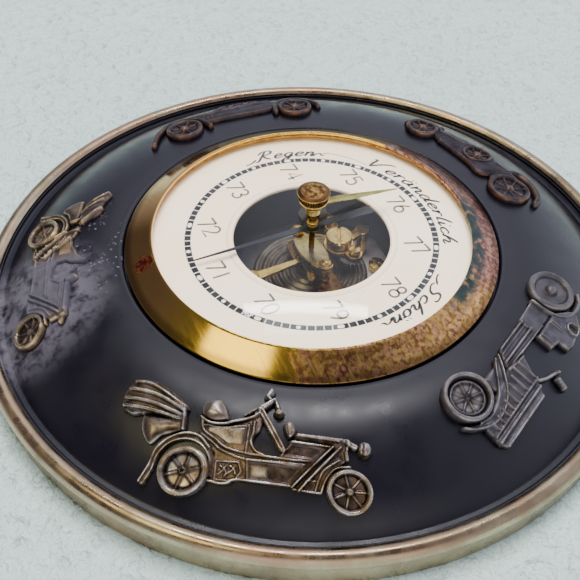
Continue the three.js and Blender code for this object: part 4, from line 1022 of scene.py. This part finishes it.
def draw_saloon():
    """A covered car seen from above its side, nose at +u, with louvres along its bonnet."""
    c = Cast((-31, 31.5), (-13.5, 14), GRID)
    p = c.p
    shell = [(1.6, -0.5), (4.4, 4.6), (5.6, 7.6), (7.4, 9.4), (23.8, 9.4), (25.2, 7.6), (25, 2), (19, 1),
        (13, -0.6), (8.6, -1.6)]
    c.add(sd_poly(p, shell, 0.1), 2, 0.8)
    for start, end in (((6.6, 8.9), (24.2, 8.9)), ((5.8, 7), (24.6, 7)), ((4.6, 5.4), (24.6, 5.5))):
        c.ridge([start, end], 0.8, 0.6)
    c.score([(6.6, 7.9), (24.4, 7.9)], 0.4, 0.35)
    c.score([(5.4, 6.2), (24.6, 6.2)], 0.4, 0.35)
    for k in range(9):
        base = 5.2 + k * 2.2
        low = max(-0.2, min((base - 8.5) * 0.32, 3.2))
        c.ridge([(base, 5.2), (base - 0.1, low)], 0.75, 0.65)
        c.tint(sd_path(p, [(base + 1.1, 5), (base + 1, low)], 0.7), shade=0.5)
    c.ridge([(1.8, -0.2), (8.4, -0.7)], 0.7, 0.5)
    board = [(8.6, -0.9), (5.4, -5), (4.4, -6), (-6.8, -6.6), (-16, -7.4), (-15.6, -1), (1, -0.6)]
    c.add(sd_poly(p, board, 0.1), 1.4, 0.6)
    c.ridge([(7.4, -2.6), (-6.4, -2.9)], 0.9, 0.9)
    c.ridge([(8.4, -1.2), (-10, -0.9)], 0.7, 0.6)
    c.ridge([(5.4, -4.4), (-6.4, -4.7)], 0.5, 0.4)
    c.ridge([(4.8, -5.5), (-6.8, -5.8)], 0.8, 0.7)
    c.ridge([(-6.6, -6.2), (-6.2, -2.9)], 0.6, 0.5)
    c.ridge([(-7, -6.8), (-15.6, -7.3)], 0.7, 0.5)
    cabin = [(-5.8, -0.6), (-5.8, 4.2), (-8.8, 4.8), (-9.4, 7.7), (-11.6, 8), (-15, 7.2), (-18.4, 6.4),
        (-22, 3), (-15.6, -1.2)]
    c.add(sd_poly(p, cabin, 0.1), 2, 0.8)
    for u in (-12.9, -12.1, -7.1):
        c.ridge([(u, -0.2), (u + 0.2, 3.4)], 0.5, 0.4)
    lamp = sd_circle(p, (-15.4, 5.2), 1.6)
    c.level(lamp, 1.5)
    c.bead(np.abs(lamp) - 0.4, 0.7)
    c.tint(lamp + 0.3, shade=0.4)
    c.bar(curve([(4.6, 6), (2, 7.4), (-0.6, 8.2), (-2.2, 8.8)]), 1.2, 1.6, 0.5)
    c.bead(np.abs(sd_circle(p, (-2.3, 8.9), 0.9)) - 0.35, 0.6)
    c.crown(sd_line(p, (0, 9.6), (0.4, 11.8), 1.9), 1.5, 0.6, 0.8)
    c.mark((0, 9.6), (0.4, 11.8), 2.2, shade=0.7)
    rear = curve([(-14.8, -7), (-14.6, -3.2), (-15.4, 0), (-17.6, 2.2), (-20.6, 3), (-24.2, 2.6), (-27, 0.8)])
    c.bar(rear, 1.6, 2.3, 0.7)
    front = curve([(6.6, -5.2), (9.6, -1.8), (14, 2), (18.5, 3.7), (22.8, 3.4), (26.6, 1), (28.4, -1.2)])
    low = curve([(7.8, -5.2), (10.6, -3.2), (13.8, -0.6), (17.2, 1.5), (21, 2.2), (24.6, 1.2)])
    c.add(sd_poly(p, front + low[::-1], 0.2), 1.7, 0.5)
    c.bar(front, 1.1, 2.5, 0.5)
    c.bar(low, 0.9, 2.2, 0.4)
    c.dome([(9.4, -4.4), (12.4, -1.6), (15.4, 0.6), (15.4, -4.6)], 1.4, 0.4, 2)
    c.mark((9, -4.8), (14.6, -5.2), 1.2, shade=0.6)
    c.wheel((21.4, -4.8), 6.5, 4.9, 0, 0.2, 3)
    tyre = np.hypot(p[0] - 21.4, p[1] + 4.8)
    c.tint(np.abs(tyre - 5.9) - 0.6, shade=0.5)
    c.bead(np.abs(tyre - 5.1) - 0.25, 0.4)
    c.wheel((21.5, -4.7), 4.6, 3.8, 8, 0.3, 1.9, bright=0.7, thick=0.7, hub=0.8)
    c.wheel((-22.5, -5), 6.6, 4.4, 0, 0, 2.2, hub=1.3)
    for part in (sd_circle(p, (-24.4, -3.6), 2.4), sd_circle(p, (-22.8, -6.4), 1.4)):
        c.tint(part, shine=0.25, shade=0.15, soft=1.5)
    return c


def draw_roadster():
    """A boat-tailed roadster, nose at -u, with a spare wheel on its side."""
    c = Cast((-27, 29), (-12, 14), GRID)
    p = c.p
    body = curve([(-15.4, -1.8), (-15, 3.6), (-10, 5.2), (-7, 6.6), (-1.6, 6.8), (5, 6.4), (10, 5),
        (15.4, 4), (11, -2.4), (7, -5.8), (2, -4.6), (-6, -3.9), (-11, -3.6), (-15.4, -1.8)])[:-1]
    c.dome(body, 1.4, 0.7, 3.5)
    c.ridge(curve([(-14.6, 0.4), (-8, 1.6), (-4.4, 2.4)]), 0.6, 0.4)
    c.ridge(curve([(6.8, 3.2), (11, 3.8), (14.4, 2.4)]), 0.6, 0.4)
    for k in range(5):
        c.score([(-13.4 + 1.7 * k, -1.4), (-12.7 + 1.7 * k, 1)], 0.4, 0.4)
    c.bar([(-1.6, 6.4), (-3.2, 8.8)], 0.9, 1.6, 0.4)
    tail = curve([(11.4, -3.6), (11.2, 1.4), (12.4, 6.4), (16, 7.2), (20.6, 5.8), (24.2, 3), (25.8, -0.4)])
    c.bar(tail, 2.3, 2.1, 1)
    c.score(tail, 0.45, 0.4)
    nose = curve([(-24.6, -3.4), (-23.4, 1.2), (-20, 3.6), (-16.2, 2.8), (-12.6, 0), (-10.8, -3)])
    c.bar(nose, 1.7, 1.9, 0.8)
    c.crown(sd_circle(p, (-16.6, 4.2), 1.3), 1.3, 0.6, 1.3)
    for at, radius, inner in (((17.5, -3), 6.5, 4.6), ((-19.3, -2.2), 5.2, 3.6), ((0.6, 1.4), 4.9, 3.4)):
        c.wheel(at, radius, inner, 8, 0.3, 2.4, hub=1.3)
        c.tint(sd_circle(p, at, 1.9), shine=0.8, soft=0.8)
    c.height *= 0.85
    return c


def draw_limousine():
    """A long low car, nose at -u, with sweeping wings."""
    c = Cast((-33, 28), (-12, 13), GRID)
    p = c.p
    body = curve([(-20, 1.6), (-17, 5.4), (-11, 6.4), (-8.4, 7), (-5.4, 9), (0, 9.6), (7.4, 9), (11.4, 6.6),
        (19, 5.4), (22.4, 1.6), (15, 0), (6, -0.8), (-4, -0.8), (-12, -0.4), (-20, 1.6)])[:-1]
    c.dome(body, 1.3, 0.6, 2.5)
    for a, b in ((-4.8, -1.4), (-0.4, 3.6), (4.6, 7.6)):
        window = [(a, 6.4), (a + 0.5, 8.4), (b, 8.5), (b, 6.4)]
        c.level(sd_poly(p, window), 1)
        c.bead(np.abs(sd_poly(p, window)) - 0.22, 0.35)
    c.ridge([(-16, 4.4), (11, 5)], 1.2, 0.5)
    c.tint(sd_path(p, [(-13, 5), (9, 5.4)], 1.4), shine=0.3, soft=0.7)
    for k in range(7):
        c.score([(-16.6 + 1.4 * k, 0.8), (-15.9 + 1.4 * k, 3.6)], 0.4, 0.4)
    front = curve([(-29.4, -6.8), (-26.6, -0.8), (-22.4, 3.6), (-17.6, 4.8), (-13.2, 2.4), (-11.4, -1),
        (-10.6, -3.2)])
    c.bar(front, 2, 2.3, 0.9)
    c.score(front, 0.4, 0.35)
    rear = curve([(10.8, -3), (12.2, 1.8), (16, 4.8), (20.4, 4.4), (23.8, 1), (25, -2.8)])
    c.bar(rear, 2, 2.3, 0.9)
    c.score(rear, 0.4, 0.35)
    for at, radius, inner in (((-18.5, -1.8), 5.8, 4), ((17.5, -1.6), 5.5, 3.8)):
        c.wheel(at, radius, inner, 8, 0.3, 2.3, hub=1.2)
        c.tint(sd_circle(p, at, 1.8), shine=0.8, soft=0.8)
    c.height *= 0.85
    return c


def neighbours(grid):
    """The sum of each cell's four neighbours."""
    padded = np.pad(grid, 1, mode="edge")
    return padded[:-2, 1:-1] + padded[2:, 1:-1] + padded[1:-1, :-2] + padded[1:-1, 2:]


def snapped(cast):
    """What is inside a cast's outline, and its grid with the first points outside moved onto the outline."""
    step = cast.u[1] - cast.u[0]
    inside = cast.edge < 0
    gu, gv = np.gradient(cast.edge, step)
    size = np.maximum(np.hypot(gu, gv), 0.3)
    out = np.where(~inside, np.clip(cast.edge, 0, 1.5 * step), 0)
    return inside, cast.place[0] - gu / size * out, cast.place[1] - gv / size * out


def grid_faces(inside):
    """Which points of a grid are used, and the faces of the cells that touch the inside."""
    cell = inside[:-1, :-1] | inside[1:, :-1] | inside[:-1, 1:] | inside[1:, 1:]
    used = np.zeros(inside.shape, bool)
    for i in (slice(None, -1), slice(1, None)):
        for j in (slice(None, -1), slice(1, None)):
            used[i, j] |= cell
    index = np.full(inside.shape, -1)
    index[used] = np.arange(used.sum())
    i, j = np.nonzero(cell)
    return used, np.stack([index[i, j], index[i + 1, j], index[i + 1, j + 1], index[i, j + 1]], 1)


def place_relief(name, node, cast, look, radius, angle, roofs, tilt=0.0):
    """Turns a cast's grid into a shell that lies on the convex case."""
    inward = 1 if roofs == "inward" else -1
    height = cast.height.copy()
    for _ in range(2):
        height = (neighbours(height) + 2 * height) / 6
    inside, u, v = snapped(cast)
    height = np.where(inside, np.maximum(height, LEAST_RELIEF), SKIRT)

    blurred = height.copy()
    for _ in range(10):
        blurred = neighbours(blurred) / 4
    curve_out = height - blurred
    # painted shade: the outline, the hollows, the low parts and the areas tinted with shade are darkened for
    # the material
    border = np.clip(1 + cast.edge / 0.7, 0, 1)
    rub = np.clip(curve_out * 2.4 + (height - 1.8) * 0.1 + cast.shine, 0, 1)
    recess_shade = np.clip(-curve_out * 3.6 + (0.9 - height) * 0.5 + cast.shade + border * 0.8, 0, 1)
    lean = math.radians(tilt)
    along = inward * (u * math.cos(lean) - v * math.sin(lean))
    up = u * math.sin(lean) + v * math.cos(lean)
    slope0 = math.asin((radius - BODY_LIP[0]) / BODY_ARC)
    direction = math.radians(angle + 90)
    out_way = np.array([math.cos(direction), math.sin(direction)])
    side_way = np.array([-math.sin(direction), math.cos(direction)])
    reach = radius - inward * up * math.cos(slope0)
    x = reach * out_way[0] + along * side_way[0]
    y = reach * out_way[1] + along * side_way[1]
    far = np.hypot(x, y)
    slope = np.arcsin(np.clip((far - BODY_LIP[0]) / BODY_ARC, 0, 0.72))
    lift = 2.0
    base = far - np.sin(slope) * lift
    slope = np.arcsin(np.clip((base - BODY_LIP[0]) / BODY_ARC, 0, 0.72))
    total = BODY_ARC + height
    flat = base < BODY_LIP[0]
    ring = np.where(flat, base, BODY_LIP[0] + total * np.sin(slope))
    z = BODY_LIP[1] - BODY_ARC + total * np.cos(slope)
    points = np.stack([x / far * ring, y / far * ring, z], -1)

    used, quads = grid_faces(inside)
    obj = piece(name, points[used], quads, look, stands_for=[node])
    for key, values in (("rub", rub), ("recess_shade", recess_shade), ("crust", cast.crust)):
        layer = obj.data.attributes.new(key, "FLOAT", "POINT")
        layer.data.foreach_set("value", values[used].astype(np.float32))
    middle = obj.data.polygons[len(quads) // 2]
    if middle.normal.z < 0:
        obj.data.flip_normals()
    return obj


def place_flat(name, node, cast, bottom, look):
    """A flat plate with rounded edges from a cast's grid, with its underside at bottom."""
    inside, u, v = snapped(cast)
    z = np.where(inside, np.maximum(cast.height, 0.3), 0.02) + bottom
    points = np.stack([u, v, z], -1)
    used, quads = grid_faces(inside)
    return piece(name, points[used], quads, look, stands_for=[node])


GRID = 0.15


def build_cars():
    place_relief("cast_tourer", "tourer_relief", draw_tourer(), RELIEF, 77, -128, "inward")
    place_relief("cast_saloon", "saloon_relief", draw_saloon(), GREY_RELIEF, 64.8, -66.5, "outward")
    place_relief("cast_roadster", "roadster_relief", draw_roadster(), DARK_RELIEF, 61.7, 8.6, "outward")
    place_relief("cast_limousine", "limousine_relief", draw_limousine(), DARK_RELIEF, 61, 81.1, "outward")
    place_relief("cast_phaeton", "phaeton_relief", draw_tourer(worn=True), CRUSTED_RELIEF, 75.4, 160.6,
        "inward", -7.8)


# ---------------------------------------------------------------- movement
def build_movement():
    low, high = box_mm("base_plate")
    piece("slate_base", *lathe([(0, low[2]), (45.0, low[2]), (45.0, high[2]), (0, high[2])], 160), SLATE,
          stands_for=["base_plate"], sharp=40)
    low, high = box_mm("carrier_plate")
    x, y, _ = centre_mm("carrier_plate")
    piece("pale_carrier", *lathe([(0, low[2]), (20.5, low[2]), (20.5, high[2]), (0, high[2])], 120,
        (x, y, 0)), NICKEL, stands_for=["carrier_plate"], sharp=40)

    low, high = box_mm("aneroid_capsule")
    top = high[2]
    wall = [(0, low[2], 0), (14.8, low[2], 0.5), (16, low[2] + 1.2, 0.4), (16, top - 0.9, 0.3)]
    waves = [(r, top - 0.32 + 0.3 * math.cos(2 * math.pi * (r - 15.0) / 2.2), 0)
        for r in np.linspace(15.2, 3.0, 90)]
    centre = [(2.4, top, 0.1), (1.4, top, 0.1), (1.4, top - 1.4, 0.1), (0, top - 1.4, 0)]
    piece("corrugated_capsule", *lathe(wall + waves + centre, 160), CAPSULE, stands_for=["aneroid_capsule"],
        sharp=40)

    for name, look, segments in (("bridge_foot", BRASS, 48), ("bridge_pillar_left", BRASS, 48),
        ("bridge_pillar_right", BRASS, 48), ("bracket_post", BRASS, 48), ("capsule_foot", BRASS, 48)):
        low, high = box_mm(name)
        x, y, _ = centre_mm(name)
        r = (high[0] - low[0]) / 2
        span = high[2] - low[2]
        collar = min(0.6, span / 4)
        profile = [(0, low[2]), (r, low[2]), (r, low[2] + collar), (r * 0.86, low[2] + collar * 1.4),
                   (r * 0.86, high[2] - collar * 1.4), (r, high[2] - collar), (r, high[2]), (0, high[2])]
        piece("turned_" + name, *lathe(profile, segments, (x, y, 0), 0.1), look, stands_for=[name], sharp=40)

    half, wide = 9.35, 3.5
    bow = (half**2 + wide**2) / (2 * wide)
    sweep = math.degrees(math.asin(half / bow)) - 6
    leaf = arc(0, wide - bow, bow, 90 - sweep, 90 + sweep, 30)
    leaf += arc(0, bow - wide, bow, 270 - sweep, 270 + sweep, 30)
    z = box_mm("top_bridge")[0][2]
    piece("leaf_bridge", *slab(leaf, z, z + 0.7, 0.14), PALE_BRASS, stands_for=["top_bridge"], sharp=35)

    z = box_mm("lower_bridge")[0][2]
    bar = arc(18.8, 0, 3, -70, 70, 16) + [(9, 3.6)] + arc(-7.65, 0, 3, 75, 248, 24)
    bar += [(-2.5, -3.4), (-2.5, -1.0), (-1.0, 1.5), (0.9, 0), (0.9, -3.5), (9, -3.6)]
    piece("low_bridge", *slab(bar, z, z + 0.9, 0.14), RED_BRASS, stands_for=["lower_bridge"], sharp=35)

    x, y, _ = centre_mm("bridge_screw")
    z = box_mm("bridge_screw")[0][2]
    piece("slotted_bridge_screw", *slotted(1.8, 1.2, 0.5, 40, (x, y, z), 0.25), BRASS,
        stands_for=["bridge_screw"], sharp=35)
    x, y, _ = centre_mm("bridge_nut")
    z = box_mm("bridge_nut")[0][2]
    dome = [(0, z), (2, z), (2, z + 0.45, 0.15), (1.72, z + 0.7, 0.1)]
    dome += [(1.6 * math.cos(t), z + 0.75 + 1.03 * math.sin(t), 0)
        for t in np.linspace(0.1, math.pi / 2 - 0.02, 14)]
    dome.append((0, z + 1.78))
    piece("domed_nut", *lathe(dome, 64, (x, y, 0)), BRASS, stands_for=["bridge_nut"], sharp=50)

    z = box_mm("top_bracket")[0][2]
    big, trim, foot, stud = (-1.2, 9.7), (4.3, 11.4), (-3.0, 18.6), (-8.6, 11.8)
    plate = Cast((-12, 8), (4, 22), 0.12)
    pads = [sd_circle(plate.p, big, 4.35), sd_circle(plate.p, trim, 2.45), sd_circle(plate.p, foot, 2.25),
        sd_circle(plate.p, stud, 2.05), sd_line(plate.p, big, trim, 4.2), sd_line(plate.p, big, foot, 3.0),
        sd_line(plate.p, big, stud, 2.8)]
    plate.add(np.minimum.reduce(pads), 0.9, 0.2)
    place_flat("screw_bracket", "top_bracket", plate, z, BRASS)
    for node, radius, height, slot, turn in (("spring_screw", 3.6, 2.7, 0.7, 149.5),
        ("trim_screw", 1.7, 1.3, 0.5, 116.8), ("bracket_stud", 1.5, 2.2, 0.5, 60),
        ("carrier_screw", 2.3, 2.0, 0.6, 20)):
        x, y, _ = centre_mm(node)
        z = box_mm(node)[0][2]
        piece("slotted_" + node, *slotted(radius, height, slot, turn, (x, y, z)), BRASS, stands_for=[node],
            sharp=35)
    x, y, _ = centre_mm("lock_washer")
    z = box_mm("lock_washer")[0][2]
    spikes = [(3.2 if k % 2 else 2.7, math.pi * k / 18) for k in range(36)]
    star = [(r * math.cos(t), r * math.sin(t)) for r, t in spikes]
    piece("serrated_washer", *slab(star, z, z + 0.6, 0.05, (x, y)), STEEL, stands_for=["lock_washer"],
        sharp=30)


def build_arbor():
    shaft = lathe([(0, 13.2), (0.45, 13.2), (0.45, 17.6), (0.8, 17.7), (0.8, 23.4), (0.5, 23.5),
        (0.5, 24.9), (0, 24.9)], 32, fillet=0.05)
    teeth = []
    for k in range(8):
        start = 292.5 + 45 * k
        for share, rise in ((-0.5, -0.2), (-0.2, -0.2), (-0.08, 0.2), (0.08, 0.2), (0.2, -0.2)):
            t = math.radians(start + share * 45)
            teeth.append(((1.49 + rise) * math.cos(t), (1.49 + rise) * math.sin(t)))
    pinion = slab(teeth, 13.6, 15.0, 0.05)
    piece("arbor_and_pinion", *joined(shaft, pinion), RED_BRASS, "pointer_unit", ["pointer_arbor"], sharp=35)
    collet = [(0.82, 24.2), (1.25, 24.2), (1.25, 25.8, 0.1), (1.3, 26.3, 0.15), (0.82, 26.3)]
    piece("collet_tube", *lathe(collet, 40, fillet=0.08), BRASS, "pointer_unit", ["hand_collet"], sharp=40)


def build_hands():
    c, s = math.cos(math.radians(POINTER_ANGLE)), math.sin(math.radians(POINTER_ANGLE))
    edge = [(-0.16, 34.0), (-0.5, 21.0), (-0.85, 8.0), (-1.0, 2.6)]
    edge += arc(0, 0, 2.2, 118, 242, 14) + [(-1.1, -2.4), (-1.45, -17.2)]
    outline = edge + [(-x, y) for x, y in reversed(edge)]
    points, faces = slab(outline, 0.02, 0.28, 0.07)
    fall = 0.06
    placed = [(x * c - y * s, x * s + y * c, 25.4 + z - y * fall) for x, y, z in points]
    piece("dark_hand", placed, faces, DARK_HAND, "pointer_unit", ["indicating_hand"], sharp=30)

    blade = [(0.12, 26.9), (0.7, 19.0), (1.2, 10.5), (1.0, 5.0), (0.8, 2.4)]
    outline = blade + arc(0, 0, 2.4, 60, -240, 40) + [(-x, y) for x, y in reversed(blade)]
    points, faces = slab(outline, 0.02, 0.34, 0.08)
    z0 = box_mm("set_hand")[1][2] - 0.35
    placed = [(x, y, z0 + z - max(0, (y - 5) / 22) * 4.7) for x, y, z in points]
    piece("brass_set_hand", placed, faces, HAND_BRASS, "set_hand_unit", ["set_hand"], sharp=30)

    build_knob()
    threads = [(1.9 - 0.22 * (k % 2), 30.45 + 0.2 * k, 0.04) for k in range(8)]
    bush = [(0.8, 26.9), (1.35, 26.9), (1.5, 27.25), (1.35, 27.6), (1.05, 27.6), (1.05, 30.4),
        (1.8, 30.4)] + threads
    bush += [(1.75, 32.0), (0.8, 32.0)]
    piece("bush", *lathe(bush, 64, fillet=0.1), BRASS, stands_for=["glass_bush"], sharp=40)
    washer = [(1.4, 29.6), (3.8, 29.6), (3.8, 30.1), (1.4, 30.1)]
    piece("washer", *lathe(washer, 64, fillet=0.15), WASHER, stands_for=["glass_washer"], sharp=40)


def build_knob():
    """A domed head over a knurled band that narrows to its foot."""
    foot = 0.05
    rows = rounded([(0.45, -6.1, 0), (0.5, foot, 0.05), (2.2, foot, 0.12), (2.5, 0.4, 0.15),
        (3.3, 0.5, 0.3), (3.72, 1.0, 0.3), (3.62, 1.45, 0.1), (3.8, 1.55, 0.05), (4.1, 3.3, 0.05),
        (4.02, 3.4, 0.05), (4.3, 3.65, 0.15), (4.25, 4.05, 0.3), (3.4, 4.45, 0.6), (0.0, 4.7, 0)], 0.1, 5)
    segments = 288
    teeth = 36
    points, faces, recess_shade = [], [], {}
    for r, z in rows:
        depth = 0.28 if 1.5 < z < 3.35 and r > 3.7 else 0.0
        for k in range(segments):
            t = 2 * math.pi * k / segments
            dip = 1 - abs(math.sin(t * teeth / 2)) ** 0.8
            rr = r - depth * dip
            points.append((rr * math.cos(t), rr * math.sin(t), KNOB_BASE + z))
            recess_shade[len(points) - 1] = dip if depth else 0.0
    for i in range(len(rows) - 1):
        for k in range(segments):
            m = (k + 1) % segments
            faces.append((i * segments + k, i * segments + m, (i + 1) * segments + m, (i + 1) * segments + k))
    faces.append(list(range(segments))[::-1])
    knob = piece("knurled_knob", points, faces, KNOB, "set_hand_unit", ["set_knob"], sharp=40)
    # the dips of the knurl carry painted shade for the material
    layer = knob.data.attributes.new("recess_shade", "FLOAT", "POINT")
    layer.data.foreach_set("value", np.array([recess_shade[i] for i in range(len(points))], np.float32))


def dress_cad_nodes():
    """CAD nodes that stay as they are get a finished material."""
    looks = {
        "back_plate": BACK, "hanger_plate": STEEL, "hanger_rivet_left": STEEL, "hanger_rivet_right": STEEL,
        "back_screw_1": STEEL, "back_screw_2": STEEL, "back_screw_3": STEEL, "glass_spring_ring": BRASS,
        "movement_cup": BACK, "sector_post": BRASS, "rocker_stand_inner": RED_BRASS,
        "rocker_stand_outer": RED_BRASS, "hairspring": STEEL, "sector_lever": BRASS,
        "rocker_shaft": RED_BRASS, "capsule_post": BRASS, "adjusting_screw": BRASS,
    }
    for node, look in looks.items():
        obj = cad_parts[node]
        for slot in obj.material_slots:
            slot.material = look


# ---------------------------------------------------------------- stage
# each light: its direction (right, away, up) as the camera looks, the angles it fades between, its colour
ROOM_LIGHT = [
    ((0, 0, 1), 0, 181, (0.14, 0.135, 0.17)),
    ((0.5, 0.85, 0.2), 15, 70, (0.62, 0.65, 0.77)),
    ((-0.32, 0.94, 0.08), 6, 26, (0.3, 0.32, 0.38)),
    ((0.95, 0.1, 0.3), 15, 60, (0.56, 0.58, 0.66)),
    ((0.1, -0.97, 0.2), 14, 48, (1.3, 1.26, 1.22)),
    ((0.0, 0.71, 0.71), 4, 22, (0.5, 0.5, 0.54)),
    ((-0.98, 0.1, -0.2), 10, 42, (0.3, 0.28, 0.27)),
    ((-0.41, -0.2, 0.89), 11, 14, (3.9, 3.5, 1.6)),
]
ROOM_STRENGTH = 1.0
CAMERA_AZIMUTH, CAMERA_ELEVATION, CAMERA_ROLL = 59.53, 45.45, 1.444
CAMERA_TARGET, CAMERA_DISTANCE = (5.07, -9.37, 10.35), 256.96
CAMERA_LENS = 58.97
TABLE_HALF = 6.0


def seen(right, far, up):
    """A point given by how far right, away and up it is as the camera sees the object, in metres."""
    t = math.radians(CAMERA_AZIMUTH)
    return right * math.cos(t) - far * math.sin(t), right * math.sin(t) + far * math.cos(t), up


def build_stage():
    look = Look("table", "floor")
    base = look.mix(look.noise(14, 4), srgb(164, 186, 186), srgb(178, 200, 198))
    leather = look.plus(look.cells(230, feature="SMOOTH_F1"), look.times(look.noise(420, 4), 0.7))
    look.set(Base_Color=base, Roughness=look.ease(look.noise(200, 3), 0.3, 0.7, 0.5, 0.62),
        Specular_IOR_Level=0.35)
    look.bump(leather, 1.0, 0.004)
    mesh = bpy.data.meshes.new("table")
    half = TABLE_HALF
    mesh.from_pydata([(-half, -half, 0), (half, -half, 0), (half, half, 0), (-half, half, 0)], [],
        [(0, 1, 2, 3)])
    mesh.materials.append(look.material)
    table = bpy.data.objects.new("table", mesh)
    bpy.context.scene.collection.objects.link(table)

    build_world()
    top_light = softbox("top_light", seen(0.0, 0.1, 1.5), 0.9, 0.9, 60, (1, 0.985, 0.965))
    top_light.visible_glossy = False
    softbox("ceiling_lamp", seen(0.0, 0.42, 1.12), 0.56, 0.06, 3.6)
    softbox("ceiling_glow", seen(-0.02, 0.36, 1.12), 0.34, 0.17, 0.7)


def build_world():
    """Soft room light: bright towards the far right, dim at the left, one window high at the left."""
    world = bpy.data.worlds.new("studio")
    bpy.context.scene.world = world
    world.use_nodes = True
    nodes, links = world.node_tree.nodes, world.node_tree.links
    way = nodes.new("ShaderNodeTexCoord").outputs["Generated"]
    total = None
    for direction, inner, outer, light in ROOM_LIGHT:
        aim = Vector(seen(*direction)).normalized()
        dot = nodes.new("ShaderNodeVectorMath")
        dot.operation = "DOT_PRODUCT"
        links.new(way, dot.inputs[0])
        dot.inputs[1].default_value = aim
        ease = nodes.new("ShaderNodeMapRange")
        ease.interpolation_type = "SMOOTHSTEP"
        links.new(dot.outputs["Value"], ease.inputs["Value"])
        ease.inputs["From Min"].default_value = math.cos(math.radians(outer))
        ease.inputs["From Max"].default_value = math.cos(math.radians(inner))
        tint = nodes.new("ShaderNodeVectorMath")
        tint.operation = "SCALE"
        tint.inputs[0].default_value = light
        links.new(ease.outputs["Result"], tint.inputs["Scale"])
        if total is None:
            total = tint.outputs["Vector"]
            continue
        add = nodes.new("ShaderNodeVectorMath")
        add.operation = "ADD"
        links.new(total, add.inputs[0])
        links.new(tint.outputs["Vector"], add.inputs[1])
        total = add.outputs["Vector"]
    background = nodes["Background"]
    links.new(total, background.inputs["Color"])
    background.inputs["Strength"].default_value = ROOM_STRENGTH


def softbox(name, place, width, height, energy, colour=(1, 1, 1)):
    light = bpy.data.lights.new(name, "AREA")
    light.shape = "RECTANGLE"
    light.size, light.size_y = width, height
    light.energy = energy
    light.color = colour
    obj = bpy.data.objects.new(name, light)
    obj.location = place
    obj.rotation_mode = "QUATERNION"
    obj.rotation_quaternion = Vector(place).to_track_quat("Z", "Y")
    bpy.context.scene.collection.objects.link(obj)
    return obj


def build_camera():
    az, el = math.radians(CAMERA_AZIMUTH), math.radians(CAMERA_ELEVATION)
    back = Vector((math.sin(az) * math.cos(el), -math.cos(az) * math.cos(el), math.sin(el)))
    data = bpy.data.cameras.new("camera")
    data.sensor_width = 36
    data.lens = CAMERA_LENS
    data.clip_start = 0.01
    camera = bpy.data.objects.new("camera", data)
    camera.location = (Vector(CAMERA_TARGET) + back * CAMERA_DISTANCE) * MM
    camera.rotation_mode = "QUATERNION"
    camera.rotation_quaternion = back.to_track_quat("Z", "Y") @ Quaternion((0, 0, 1),
        math.radians(CAMERA_ROLL))
    bpy.context.scene.collection.objects.link(camera)
    bpy.context.scene.camera = camera


build_camera()
build_case()
build_glass()
build_dial()
build_cars()
build_movement()
build_arbor()
build_hands()
dress_cad_nodes()
build_stage()

bpy.context.view_layer.update()
